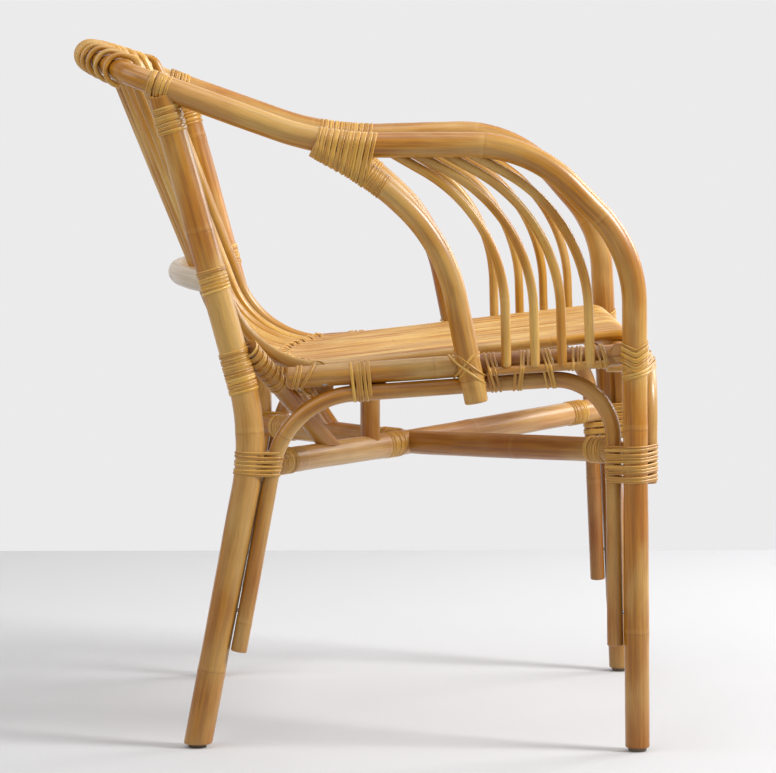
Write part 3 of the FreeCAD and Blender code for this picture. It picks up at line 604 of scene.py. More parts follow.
def group(name: str, takes: Sequence[tuple[str, str]], gives: Sequence[tuple[str, str]]) -> tuple[
        bpy.types.NodeTree, NodeSheet, bpy.types.Node, bpy.types.Node]:
    """A new shader node group with named sockets.

    Args:
        name: Name of the group.
        takes: Name and socket type of each input.
        gives: Name and socket type of each output.

    Returns:
        The group, its sheet, its input node and its output node.
    """
    tree = bpy.data.node_groups.new(name, "ShaderNodeTree")
    for direction, sockets in (("INPUT", takes), ("OUTPUT", gives)):
        for label, kind in sockets:
            tree.interface.new_socket(name=label, in_out=direction, socket_type=kind)
    sheet = NodeSheet(tree)
    return tree, sheet, sheet.add("NodeGroupInput"), sheet.add("NodeGroupOutput")


FLOAT, VECTOR = "NodeSocketFloat", "NodeSocketVector"


class Effects:
    """Node groups that the finishes share."""

    def __init__(self) -> None:
        """Builds every group once."""
        self.grain = self._grain()
        self.growth = self._growth()

    def _grain(self) -> bpy.types.NodeTree:
        """Lengthwise fibres, broad streaks, slow blotches and warm zones on a pole's unbent place."""
        tree, sheet, source, sink = group(
            "rattan_grain", [("Place", VECTOR)],
            [("Streak", FLOAT), ("Fibre", FLOAT), ("Blotch", FLOAT), ("Warmth", FLOAT), ("Height", FLOAT)])
        place = source.outputs["Place"]
        streak = sheet.span(sheet.noise(place, (1, 1, 0.03), 260.0, 3.0), 0.34, 0.68)
        fibre = sheet.noise(place, (1, 1, 0.035), 1500.0, 2.0)
        blotch = sheet.span(sheet.noise(place, (1, 1, 0.35), 26.0, 2.5), 0.36, 0.66)
        warmth = sheet.span(sheet.noise(place, (1, 1, 0.6), 11.0, 1.0), 0.44, 0.68)
        height = sheet.math("ADD", sheet.math("MULTIPLY", fibre, 0.6), sheet.math("MULTIPLY", streak, 0.4))
        values = {"Streak": streak, "Fibre": fibre, "Blotch": blotch, "Warmth": warmth, "Height": height}
        for label, value in values.items():
            tree.links.new(value, sink.inputs[label])
        return tree

    def _growth(self) -> bpy.types.NodeTree:
        """Thin dark ring and paler scar beside it where a leaf grew, from the distance to the ring."""
        tree, sheet, source, sink = group(
            "growth_ring", [("Place", VECTOR), ("Distance", FLOAT)],
            [("Ring", FLOAT), ("Scar", FLOAT), ("Height", FLOAT)])
        place = source.outputs["Place"]
        uneven = sheet.math("MULTIPLY_ADD", sheet.noise(place, (1, 1, 0.2), 120.0), 3.0, -1.5)
        distance = sheet.math("ADD", source.outputs["Distance"], uneven)
        size = sheet.math("ABSOLUTE", distance)
        ring = sheet.span(size, 0.15, 1.5, 1.0, 0.0)
        broken = sheet.span(sheet.noise(place, (1, 1, 0.1), 90.0), 0.3, 0.6, 0.25, 1.0)
        ring = sheet.math("MULTIPLY", ring, broken)
        scar = sheet.span(sheet.math("ABSOLUTE", sheet.math("SUBTRACT", distance, 3.5)), 0.5, 4.5, 1.0, 0.0)
        height = sheet.math("SUBTRACT", sheet.math("MULTIPLY", scar, 0.5), ring)
        for label, value in zip(("Ring", "Scar", "Height"), (ring, scar, height)):
            tree.links.new(value, sink.inputs[label])
        return tree


Colour = tuple[float, float, float, float]


@dataclass(frozen=True)
class Finish:
    """Colours and gloss of a rattan finish.

    Attributes:
        name: Name of the material.
        dark: Colour of the darkest streaks.
        body: Colour of most of the surface.
        light: Colour of the palest streaks.
        cut: Colour of sawn ends, or of a strip's edges; on the cane the edges are partly the paler core of
            split cane and partly a painted highlight where the rims catch the light.
        warm: Redder colour of some zones.
        gloss: Lowest and highest roughness.
        coat: Weight of the lacquer.
        relief: Height of the surface relief in metres.
        rings: Strength of the growth rings.
    """

    name: str
    dark: Colour
    body: Colour
    light: Colour
    cut: Colour
    warm: Colour = linear(184, 102, 30)
    gloss: tuple[float, float] = (0.32, 0.46)
    coat: float = 0.5
    relief: float = 0.00022
    rings: float = 0.22

    def material(self, effects: Effects) -> bpy.types.Material:
        """Builds the material from the shared groups.

        Args:
            effects: The shared node groups.

        Returns:
            The material, with its shader in the material itself.
        """
        material = bpy.data.materials.new(self.name)
        material.use_nodes = True
        material.node_tree.nodes.clear()
        sheet = NodeSheet(material.node_tree)
        place = sheet.add("ShaderNodeAttribute", attribute_name="unbent").outputs["Vector"]
        mark, edge, tone = (sheet.add("ShaderNodeAttribute", attribute_name=name).outputs["Fac"]
                            for name in ("mark", "edge", "tone"))
        grain = sheet.add("ShaderNodeGroup", node_tree=effects.grain)
        material.node_tree.links.new(place, grain.inputs["Place"])
        colour = sheet.mix(sheet.span(grain.outputs["Streak"], 0.0, 1.0, 0.5, 1.0), self.dark, self.body)
        colour = sheet.mix(sheet.math("MULTIPLY", grain.outputs["Blotch"], 0.5), colour, self.light)
        colour = sheet.mix(sheet.math("MULTIPLY", grain.outputs["Warmth"], 0.3), colour, self.warm)
        fine = sheet.span(grain.outputs["Fibre"], 0.35, 0.7, 0.0, 0.2)
        colour = sheet.mix(fine, colour, self.dark)
        height = grain.outputs["Height"]
        if self.rings > 0.0:
            growth = sheet.add("ShaderNodeGroup", node_tree=effects.growth)
            sheet.set(growth.inputs["Distance"], mark)
            sheet.set(growth.inputs["Place"], place)
            scar = sheet.math("MULTIPLY", growth.outputs["Scar"], 0.4 * self.rings)
            ring = sheet.math("MULTIPLY", growth.outputs["Ring"], self.rings)
            colour = sheet.mix(ring, sheet.mix(scar, colour, self.light), self.dark)
            height = sheet.math("MULTIPLY_ADD", growth.outputs["Height"], 1.4, height)
        # The tone attribute darkens towards the dark colour: partly each piece's and each turn's own tone,
        # partly painted shade towards the floor and on the lower bindings.
        darker = sheet.span(tone, -1.0, 2.0, 0.0, 0.7)
        colour = sheet.mix(darker, colour, self.dark)
        # Sawn ends and strip rims take the cut colour; on the cane strips this is partly a painted highlight.
        colour = sheet.mix(edge, colour, self.cut)
        roughness = sheet.span(grain.outputs["Streak"], 0.0, 1.0, self.gloss[1], self.gloss[0])
        bump = sheet.add("ShaderNodeBump", {"Height": height, "Strength": 0.5, "Distance": self.relief})
        shader = sheet.add("ShaderNodeBsdfPrincipled", {
            "Base Color": colour, "Roughness": roughness, "Normal": bump.outputs["Normal"],
            "Coat Weight": self.coat, "Coat Roughness": 0.24, "IOR": 1.4})
        sheet.add("ShaderNodeOutputMaterial", {"Surface": shader.outputs[0]})
        return material


POLE_FINISH = Finish("honey_pole", linear(112, 54, 2), linear(204, 139, 24), linear(246, 211, 128),
                     linear(204, 156, 92))
SLAT_FINISH = Finish("pale_slat", linear(134, 74, 4), linear(214, 158, 46), linear(249, 218, 136),
                     linear(208, 160, 96), rings=0.15)
BEIGE_FINISH = Finish("beige_pole", linear(136, 88, 36), linear(208, 160, 92), linear(232, 198, 140),
                      linear(204, 156, 92))
GREY_FINISH = Finish("grey_pole", linear(158, 134, 104), linear(200, 180, 150), linear(220, 204, 178),
                     linear(176, 150, 116), warm=linear(188, 160, 122), gloss=(0.42, 0.58))
CANE_FINISH = Finish("split_cane", linear(130, 74, 5), linear(213, 158, 48), linear(245, 210, 118),
                     linear(214, 166, 78), gloss=(0.34, 0.5), coat=0.4, relief=0.00012, rings=0.0)


@dataclass(frozen=True)
class PlainFinish:
    """A finish of one stuff with a fine mottle: moulded glides, steel screws or turned dowels.

    Attributes:
        name: Name of the material.
        dark: Darker colour of the mottle.
        light: Lighter colour of the mottle.
        roughness: Lowest and highest roughness.
        metal: How metallic it is.
        size: Mottles per metre.
    """

    name: str
    dark: Colour
    light: Colour
    roughness: tuple[float, float]
    metal: float
    size: float

    def material(self) -> bpy.types.Material:
        """Builds the material on Object coordinates."""
        material = bpy.data.materials.new(self.name)
        material.use_nodes = True
        material.node_tree.nodes.clear()
        sheet = NodeSheet(material.node_tree)
        place = sheet.add("ShaderNodeTexCoord").outputs["Object"]
        mottle = sheet.noise(place, (1, 1, 1), self.size, 4.0)
        colour = sheet.mix(sheet.span(mottle, 0.35, 0.65), self.dark, self.light)
        bump = sheet.add("ShaderNodeBump", {"Height": mottle, "Strength": 0.3, "Distance": 0.0001})
        shader = sheet.add("ShaderNodeBsdfPrincipled", {
            "Base Color": colour, "Roughness": sheet.span(mottle, 0.3, 0.7, *self.roughness),
            "Metallic": self.metal, "Normal": bump.outputs["Normal"]})
        sheet.add("ShaderNodeOutputMaterial", {"Surface": shader.outputs[0]})
        return material


GLIDE_FINISH = PlainFinish("dull_glide", linear(84, 74, 60), linear(118, 106, 90), (0.5, 0.7), 0.0, 900.0)
SCREW_FINISH = PlainFinish("plain_steel", linear(120, 120, 122), linear(170, 170, 172), (0.3, 0.5), 1.0,
                           1600.0)
DOWEL_FINISH = PlainFinish("turned_dowel", linear(150, 112, 70), linear(188, 148, 100), (0.6, 0.75), 0.0,
                           700.0)


class Workshop:
    """Makes objects from surfaces and hands out each finish's material once."""

    def __init__(self, painted_low_shade: float = 0.7, painted_low_shade_height: float = 0.45) -> None:
        """Builds the shared node groups.

        Args:
            painted_low_shade: Painted shade: how much darker the rattan is painted towards the floor, for the
                light that falls from above.
            painted_low_shade_height: Height in metres up to which the painted shade reaches.
        """
        self.painted_low_shade = painted_low_shade
        self.painted_low_shade_height = painted_low_shade_height
        self.effects = Effects()
        self.materials: dict[str, bpy.types.Material] = {}

    def material(self, finish: Finish) -> bpy.types.Material:
        """The one material of a rattan finish."""
        if finish.name not in self.materials:
            self.materials[finish.name] = finish.material(self.effects)
        return self.materials[finish.name]

    def piece(self, name: str, surfaces: Sequence[Surface], finish: Finish, node: str,
              tone: float | None = None) -> bpy.types.Object:
        """Joins surfaces into one object in the frame's place that stands for a CAD node.

        Args:
            name: Name of the piece.
            surfaces: Surfaces of the piece.
            finish: Its finish.
            node: The CAD node that it stands for.
            tone: How dark this piece is, from -1 to 1, or None where each surface has its own.

        Returns:
            The object.
        """
        sizes = np.array([len(surface.verts) for surface in surfaces])
        starts = np.concatenate([[0], np.cumsum(sizes)[:-1]])
        verts = (np.concatenate([surface.verts for surface in surfaces]) + CENTRE_SHIFT) * MM
        faces: list[list[int]] = []
        for start, surface in zip(starts, surfaces):
            faces += (surface.quads + start).tolist() + (surface.tris + start).tolist()
        mesh = bpy.data.meshes.new(name)
        mesh.from_pydata(verts.tolist(), [], faces)
        mesh.polygons.foreach_set("use_smooth", np.ones(len(mesh.polygons), bool))
        marks = np.concatenate([surface.mark for surface in surfaces])
        tones = marks if tone is None else np.full(len(marks), tone)
        # Painted shade: every piece is darkened towards the floor, for the light that falls from above; the
        # rest of the tone is the piece's own.
        tones = tones + self.painted_low_shade * smooth(1.0 - verts[:, 2] / self.painted_low_shade_height)
        unbent = mesh.attributes.new("unbent", "FLOAT_VECTOR", "POINT")
        unbent.data.foreach_set("vector", np.concatenate([surface.unbent for surface in surfaces]).ravel())
        for label, values in (("mark", marks), ("tone", tones),
                              ("edge", np.concatenate([surface.edge for surface in surfaces]))):
            mesh.attributes.new(label, "FLOAT", "POINT").data.foreach_set("value", values)
        mesh.update()
        mesh.materials.append(self.material(finish))
        made = bpy.data.objects.new(name, mesh)
        bpy.context.scene.collection.objects.link(made)
        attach(made, "root")
        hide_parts(node)
        LOG.info("%s: %d faces for %s", name, len(mesh.polygons), node)
        return made

    def rattan(self, node: str, rods: Sequence[Rod], finish: Finish, tone: float,
               name: str = "") -> None:
        """Makes the rattan piece of one CAD node.

        Args:
            node: The CAD node that it stands for.
            rods: Its rods.
            finish: Its finish.
            tone: How dark it is.
            name: What it is called, where that isn't the node's name.
        """
        self.piece(f"{name or node}_rattan", [rod.surface() for rod in rods], finish, node, tone)


# Sub-assemblies


@dataclass
class ArmSide:
    """One arm: the pole from foot to back, its curved support, and the spindles under it."""

    side: Side
    pole_d: float = 26.5
    foot: Place = (303.0, 268.3, 4.0)
    front_corner: Place = (297.0, 260.0, 540.0)
    top_corner: Place = (185.0, 262.0, 653.0)
    left_top_corner: Place = (194.0, 262.0, 658.0)
    rise: Place = (-34.0, 262.0, 652.0)
    end: Place = (-209.5, 237.0, 715.0)
    bends: tuple[float, ...] = (140.0, 150.0, 300.0)
    left_forward: float = 22.0
    left_spindles_forward: float = 9.0
    support_d: float = 25.0
    support_line: tuple[Place, ...] = ((-45.0, 262.0, 652.0), (20.0, 262.0, 618.0), (95.0, 262.0, 545.0),
                                       (129.0, 262.0, 376.5))
    support_bends: tuple[float, float] = (290.0, 187.0)
    spindle_d: float = 10.5
    spindle_tops: tuple[float, ...] = (22.0, 45.0, 76.0, 104.0)
    spindle_bends: tuple[float, ...] = (157.0, 187.0, 216.0, 245.5)
    spindle_feet: tuple[float, ...] = (161.0, 192.0, 221.0, 251.0)
    spindle_bend_z: float = 576.0
    spindle_radius: float = 175.0
    spindle_y: tuple[float, float] = (258.0, 254.2)
    spindle_out: float = 1.5
    spindle_over_lath: float = 4.0
    lath_d: float = 9.0
    lath: tuple[Place, Place] = ((141.0, 254.2, 409.5), (271.5, 254.2, 418.0))

    def forward(self, z: float) -> float:
        """How much further forward the left front leg stands at a height."""
        return self.left_forward * max(0.0, 1.0 - z / self.front_corner[2]) if self.side is Side.LEFT else 0.0

    def beside_leg(self, place: Place) -> Array:
        """A point that goes with the front leg of this side."""
        return self.side.at(place) + X_AXIS * self.forward(place[2])

    @property
    def spindles_ahead(self) -> float:
        """How far this side's spindles stand in front of the right ones."""
        return 0.0 if self.side is Side.RIGHT else self.left_spindles_forward

    def __post_init__(self) -> None:
        """Lays out the rods."""
        corner = self.top_corner if self.side is Side.RIGHT else self.left_top_corner
        points = [self.beside_leg(self.foot)]
        points += [self.side.at(place) for place in (self.front_corner, corner, self.rise, self.end)]
        seed = 11 if self.side is Side.RIGHT else 12
        self.pole = Rod(Path(rounded(points, self.bends)), self.pole_d, Y_AXIS, seed, 36,
                        planes=(Z_AXIS, None))
        line = [self.side.at(place) for place in self.support_line]
        self.support = Rod(Path(rounded(line, self.support_bends)), self.support_d, Y_AXIS, seed + 10, 36,
                           rounding=(1.5, 2.2))
        self.lath_rod = Rod(Path(np.stack([self.side.at(place) for place in self.lath])), self.lath_d, Y_AXIS,
                            seed + 20, 16)
        self.spindles = [self.spindle(number) for number in range(len(self.spindle_tops))]

    def spindle(self, number: int) -> Rod:
        """One thin bent rod from under the arm to the lath.

        Args:
            number: Its place from the back, from 0.

        Returns:
            The rod, with a rounded lower end just past the lath.
        """
        ahead = self.spindles_ahead
        top = self.side.at((self.spindle_tops[number] + ahead, self.spindle_y[0], self.top_corner[2]))
        middle_y = sum(self.spindle_y) / 2
        corner = self.side.at((self.spindle_bends[number] + ahead, middle_y, self.spindle_bend_z))
        foot = self.side.at((self.spindle_feet[number] + ahead, self.spindle_y[1] + self.spindle_out,
                             self.lath[0][2] + self.spindle_over_lath))
        seed = 40 + number + (10 if self.side is Side.LEFT else 0)
        path = Path(rounded([top, corner, foot], [self.spindle_radius]), 4.0)
        return Rod(path, self.spindle_d, Y_AXIS, seed, 20, rounding=(1.0, 4.6), swell=0.03)

    def dress(self, shop: Workshop) -> None:
        """Makes the arm's pieces.

        Args:
            shop: Makes the objects.
        """
        word = self.side.word
        tone = 0.0 if self.side is Side.RIGHT else 0.3
        shop.rattan(f"{word}_arm_pole", [self.pole], POLE_FINISH, tone)
        shop.rattan(f"{word}_arm_support", [self.support], POLE_FINISH, tone + 0.15)
        shop.rattan(f"{word}_spindle_lath", [self.lath_rod], SLAT_FINISH, 0.4, f"{word}_lath")
        shop.rattan(f"{word}_spindles", self.spindles, SLAT_FINISH, 0.1)


@dataclass
class BackFrame:
    """Top rail, rear legs and the lumbar rail."""

    rail_d: float = 24.0
    rail_middle: Place = (-298.5, 0.0, 748.5)
    rail_end: Place = (-209.5, 237.0, 715.0)
    bow_radius: float = 450.0
    bow_half: float = 212.0
    leg_d: float = 31.0
    leg_foot: Place = (-172.1, 238.2, 4.0)
    leg_knee: Place = (-108.0, 240.0, 340.0)
    leg_top: Place = (-207.0, 236.0, 705.0)
    leg_bend: float = 260.0
    lumbar_d: float = 24.0
    lumbar_z: float = 504.5
    lumbar_bow: float = 33.5
    lumbar_half: float = 234.0

    def __post_init__(self) -> None:
        """Lays out the rods."""
        rise = np.array(self.rail_middle) - (self.rail_end[0], 0.0, self.rail_end[2])
        self.depth = float(np.linalg.norm(rise))
        self.slope = unit(rise)
        self.top_rail = Rod(Path(self.rail_line()), self.rail_d, np.cross(self.slope, Y_AXIS), 3, 32)
        self.legs = {}
        for side in Side:
            line = [side.at(place) for place in (self.leg_foot, self.leg_knee, self.leg_top)]
            path = Path(rounded(line, [self.leg_bend]))
            self.legs[side] = Rod(path, self.leg_d, Y_AXIS, 6 + int(side.value), 36, planes=(Z_AXIS, None))

    def rail_point(self, u: float, y: float) -> Array:
        """A point in the sloping plane of the top rail."""
        return np.array([self.rail_end[0], y, self.rail_end[2]]) + self.slope * u

    def bow(self, y: float) -> float:
        """Wide bow's place up its plane: depth less radius plus root of radius squared less y squared."""
        return self.depth - self.bow_radius + math.sqrt(self.bow_radius ** 2 - y ** 2)

    def rail_line(self) -> Array:
        """One wide arc with a tighter arc at each end, all in the sloping plane."""
        half, end_y = self.bow_half, self.rail_end[1]
        turn = math.asin(half / self.bow_radius)
        u = self.bow(half)
        lean = math.atan2(u, end_y - half)
        arm = math.hypot(u, end_y - half) / 2 / math.cos(lean - turn)
        apex_u, apex_y = u - arm * math.sin(turn), half + arm * math.cos(turn)
        angle = np.linspace(-turn, turn, 160)
        wide = self.rail_point(self.depth - self.bow_radius, 0.0) + (
            np.cos(angle)[:, None] * self.slope + np.sin(angle)[:, None] * Y_AXIS) * self.bow_radius
        first = arc(self.rail_point(0, -end_y), self.rail_point(apex_u, -apex_y), self.rail_point(u, -half))
        last = arc(self.rail_point(u, half), self.rail_point(apex_u, apex_y), self.rail_point(0, end_y))
        return np.concatenate([first, wide, last])

    def lumbar(self, middle_x: float, slat_half: float) -> Rod:
        """The rail behind the slats.

        Args:
            middle_x: Its middle's place behind the middle slat.
            slat_half: Distance of the outer slats from the middle.

        Returns:
            The rod, bowed as a parabola.
        """
        y = np.linspace(-self.lumbar_half, self.lumbar_half, 120)
        x = middle_x + self.lumbar_bow * (y / slat_half) ** 2
        line = np.stack([x, y, np.full(len(y), self.lumbar_z)], 1)
        return Rod(Path(line), self.lumbar_d, Z_AXIS, 5, 32, rounding=(4.0, 4.0))

    def dress(self, shop: Workshop, lumbar: Rod) -> None:
        """Makes the back frame's pieces.

        Args:
            shop: Makes the objects.
            lumbar: The rail behind the slats.
        """
        shop.rattan("top_rail", [self.top_rail], POLE_FINISH, 0.1)
        shop.rattan("mid_back_rail", [lumbar], GREY_FINISH, -0.2, name="lumbar_rail")
        for side, rod in self.legs.items():
            shop.rattan(f"{side.word}_rear_leg", [rod], POLE_FINISH, 0.0 if side is Side.RIGHT else -0.3)


@dataclass
class SeatFrame:
    """Side, front, middle and rear seat rails with the side arches and the front arch."""

    arms: dict[Side, ArmSide]
    rail_d: float = 24.0
    cross_d: float = 22.0
    rail_rear: Place = (-75.0, 234.0, 401.0)
    rail_front: Place = (285.0, 236.0, 426.0)
    front_x: float = 284.0
    front_half: float = 248.0
    middle_x: float = 21.5
    middle_short: float = 4.0
    rear_x: float = -80.0
    rear_bow: float = 46.0
    rear_half: float = 224.0
    slat_d: float = 12.5
    line_x: float = -45.0
    line_z: float = 408.0
    line_slope: float = 0.115
    fit: float = 0.2
    arch_d: float = 17.5
    arch_line: tuple[Place, ...] = ((-127.5, 243.0, 105.0), (-76.0, 237.0, 379.7), (276.0, 239.0, 404.0),
                                    (279.0, 262.0, 113.5))
    arch_bends: tuple[float, float] = (95.0, 62.0)
    front_arch_d: float = 17.0
    front_arch_foot: Place = (315.5, 248.0, 288.0)
    front_arch_top: Place = (316.0, 246.0, 418.0)
    front_arch_bend: float = 65.0

    def seat_z(self, x: float) -> float:
        """Height of the slats' middle line along the seat."""
        return self.line_z + self.line_slope * (x - self.line_x)

    def under_slats(self, x: float) -> float:
        """Axis height of a cross rail that carries the slats."""
        return self.seat_z(x) - self.wrap * math.hypot(1.0, self.line_slope)

    def rear_point(self, y: Array) -> Array:
        """Points of the rear rail, which is bowed to the back in a plane along the seat."""
        x = self.rear_x + self.rear_bow * (y / self.rear_half) ** 2
        return np.stack([x, y, self.under_slats(self.rear_x) + self.line_slope * (x - self.rear_x)], -1)

    def __post_init__(self) -> None:
        """Lays out the rods."""
        self.wrap = self.cross_d / 2 + self.slat_d / 2 + self.fit
        self.side_rails: dict[Side, Rod] = {}
        self.arches: dict[Side, Rod] = {}
        for side, arm in self.arms.items():
            seed = 21 + int(side.value)
            ends = np.stack([side.at(self.rail_rear), side.at(self.rail_front)])
            self.side_rails[side] = Rod(Path(ends), self.rail_d, Y_AXIS, seed, 32, rounding=(3.0, 1.5))
            line = [side.at(place) for place in self.arch_line[:2]]
            line += [arm.beside_leg(place) for place in self.arch_line[2:]]
            self.arches[side] = Rod(Path(rounded(line, self.arch_bends)), self.arch_d, Y_AXIS, seed + 4, 28)
        z = self.under_slats(self.front_x)
        ends = np.array([[self.front_x, sign * self.front_half, z] for sign in (-1, 1)])
        self.front_rail = Rod(Path(ends), self.cross_d, X_AXIS, 31, 28)
        reach = self.rail_rear[1] - self.middle_short
        ends = np.array([[self.middle_x, sign * reach, self.under_slats(self.middle_x)] for sign in (-1, 1)])
        self.middle_rail = Rod(Path(ends), self.cross_d, X_AXIS, 32, 28)
        across = np.linspace(-self.rear_half, self.rear_half, 120)
        self.rear_rail = Rod(Path(self.rear_point(across)), self.cross_d, Z_AXIS, 33, 28)
        right, left = self.arms[Side.RIGHT], self.arms[Side.LEFT]
        line = [right.beside_leg(self.front_arch_foot), right.beside_leg(self.front_arch_top),
                left.beside_leg(self.front_arch_top), left.beside_leg(self.front_arch_foot)]
        path = Path(rounded(line, [self.front_arch_bend] * 2))
        self.front_arch = Rod(path, self.front_arch_d, X_AXIS, 34, 28)

    def dress(self, shop: Workshop) -> None:
        """Makes the seat frame's pieces.

        Args:
            shop: Makes the objects.
        """
        for side in Side:
            tone = 0.0 if side is Side.RIGHT else 0.4
            shop.rattan(f"{side.word}_seat_rail", [self.side_rails[side]], POLE_FINISH, tone + 0.1)
            shop.rattan(f"{side.word}_side_arch", [self.arches[side]], POLE_FINISH, tone + 0.3)
        for name, rod in (("front_arch", self.front_arch), ("front_seat_rail", self.front_rail),
                          ("middle_seat_rail", self.middle_rail), ("rear_seat_rail", self.rear_rail)):
            shop.rattan(name, [rod], POLE_FINISH, 0.25)


@dataclass
class UnderFrame:
    """Crossed stretchers, knee braces and seat pegs."""

    seat: SeatFrame
    stretcher_d: float = 27.5
    rear: Place = (-104.0, 220.5, 306.0)
    middle: Place = (60.0, 0.0, 308.0)
    front: Place = (281.0, 240.0, 323.0)
    bend: float = 800.0
    brace_d: float = 21.0
    brace_top: Place = (-110.6, 233.1, 426.1)
    brace_foot: Place = (-29.7, 120.8, 317.0)
    brace_cope: Place = (0.8, -0.55, 0.25)
    peg_d: float = 21.5
    peg_x: float = 17.0
    peg_y: float = 58.0
    peg_foot: float = 4.0

    def __post_init__(self) -> None:
        """Lays out the rods."""
        self.stretchers: dict[Side, Rod] = {}
        self.braces: dict[Side, Rod] = {}
        self.pegs: dict[Side, Rod] = {}
        for side in Side:
            other = Side.LEFT if side is Side.RIGHT else Side.RIGHT
            seed = 61 + int(side.value)
            line = [side.at(self.rear), side.at(self.middle), self.seat.arms[other].beside_leg(self.front)]
            self.stretchers[side] = Rod(Path(rounded(line, [self.bend])), self.stretcher_d, Z_AXIS, seed, 32)
            ends = np.stack([side.at(self.brace_top), side.at(self.brace_foot)])
            self.braces[side] = Rod(Path(ends), self.brace_d, X_AXIS, seed + 4, 28, rounding=(1.0, 2.0),
                                    planes=(side.at(self.brace_cope), Z_AXIS))
            heights = (self.middle[2] + self.peg_foot, self.seat.under_slats(self.seat.middle_x))
            ends = np.stack([side.at((self.peg_x, self.peg_y, z)) for z in heights])
            self.pegs[side] = Rod(Path(ends), self.peg_d, X_AXIS, seed + 8, 24)

    def dress(self, shop: Workshop) -> None:
        """Makes the pieces under the seat.

        Args:
            shop: Makes the objects.
        """
        stretcher = {Side.RIGHT: (BEIGE_FINISH, -0.4), Side.LEFT: (POLE_FINISH, 0.7)}
        for side in Side:
            for part, rods, finish, tone in (("rear_stretcher", self.stretchers, *stretcher[side]),
                                             ("knee_brace", self.braces, POLE_FINISH, 0.6),
                                             ("seat_peg", self.pegs, POLE_FINISH, 0.5)):
                shop.rattan(f"{side.word}_{part}", [rods[side]], finish, tone)


@dataclass
class SlatBed:
    """The slats of seat and back, each one rod from under the front rail to round the top rail."""

    seat: SeatFrame
    back: BackFrame
    count: int = 15
    pitch: float = 29.0
    corner_x: float = -136.0
    corner_bend: float = 110.0
    bow: float = 29.5
    tail: float = 12.0
    shaved: tuple[float, float] = (4.3, 2.9)
    shaved_turn: float = 245.0
    thinning_turn: float = 55.0
    shaved_from: float = 14.0
    shaving_run: float = 34.0
    shaved_room: float = 0.4
    lumbar_room: float = 0.6

    @property
    def half(self) -> float:
        """Distance of the outer slats from the middle."""
        return self.pitch * (self.count // 2)

    def back_line(self, y: float) -> tuple[Array, Array, Array, float]:
        """Back corner of a slat, where it meets the wrap, the rail's middle there and the wrap's radius.

        Args:
            y: The slat's place across the chair.

        Returns:
            Corner, touching point, rail middle and radius.
        """
        x = self.corner_x + self.bow * (y / self.half) ** 2
        corner = np.array([x, y, self.seat.seat_z(x)])
        rail = self.back.rail_point(self.back.bow(y), y)
        slant = math.cos(math.asin(y / self.back.bow_radius))
        radius = self.back.rail_d / 2 / slant + self.seat.slat_d / 2 + 2 * self.seat.fit
        away = rail - corner
        size = float(np.linalg.norm(away))
        angle = math.atan2(away[2], away[0]) - math.asin(radius / size)
        touch = corner + swung(np.array([angle]))[0] * math.sqrt(size ** 2 - radius ** 2)
        return corner, touch, rail, radius

    def lumbar_x(self) -> float:
        """Axis of the lumbar rail behind the middle slat."""
        corner, touch, _, _ = self.back_line(0.0)
        heading = unit(touch - corner)
        share = (self.back.lumbar_z - corner[2]) / (touch[2] - corner[2])
        room = (self.back.lumbar_d + self.seat.slat_d) / 2 + self.lumbar_room
        return float(corner[0] + (touch[0] - corner[0]) * share - room / heading[2])

    def slat(self, number: int) -> Rod:
        """One slat.

        Its middle line goes half round the front rail, along the seat, round the back corner and up
        the back, then spirals in round the top rail while its section is shaved to a flat oval.

        Args:
            number: Place from the sitter's right, from 0.

        Returns:
            The rod.
        """
        y = (number - self.count // 2) * self.pitch
        front = np.array([self.seat.front_x, y, self.seat.under_slats(self.seat.front_x)])
        turn = np.linspace(-math.pi / 2, math.pi / 2 + math.atan(self.seat.line_slope), 40)
        nose = front + self.seat.wrap * swung(turn)
        tail = nose[:1] - X_AXIS * self.tail
        corner, touch, rail, wrap = self.back_line(y)
        run = rounded([nose[-1], corner, touch], [self.corner_bend])
        start = math.atan2(touch[2] - rail[2], touch[0] - rail[0])
        sweep = np.linspace(0.0, math.radians(self.shaved_turn), 90)
        thin = smooth(sweep / math.radians(self.thinning_turn))
        rail_reach = wrap - self.seat.slat_d / 2 - 2 * self.seat.fit
        inner = rail_reach + self.shaved_room + self.shaved[1]
        reach = wrap + (inner - wrap) * thin
        over = rail + reach[:, None] * swung(start + sweep)
        path = Path(np.concatenate([tail, nose, run[1:], over[1:]]), 3.2)
        ends_at = path.along[-1]
        shaved_run = float(np.linalg.norm(np.diff(over, axis=0), axis=1).sum())
        full = self.seat.slat_d / 2

        def section(along: Array) -> Array:
            """Half width and half depth: round along the slat, a flat oval round the top rail."""
            share = smooth((along - (ends_at - shaved_run - self.shaved_from)) / self.shaving_run)[:, None]
            return full * (1 - share) + np.array(self.shaved) * share

        return Rod(path, self.seat.slat_d, Y_AXIS, 100 + number, 18, rounding=(1.2, 0.8), section=section,
                   swell=0.016)

    def dress(self, shop: Workshop) -> list[Rod]:
        """Makes every slat.

        Args:
            shop: Makes the objects.

        Returns:
            The slats' rods.
        """
        tones = np.random.default_rng(8).uniform(-0.6, 0.5, self.count)
        rods = [self.slat(number) for number in range(self.count)]
        for number, (rod, tone) in enumerate(zip(rods, tones), 1):
            shop.rattan(f"slat_{number:02d}", [rod], SLAT_FINISH, float(tone))
        return rods


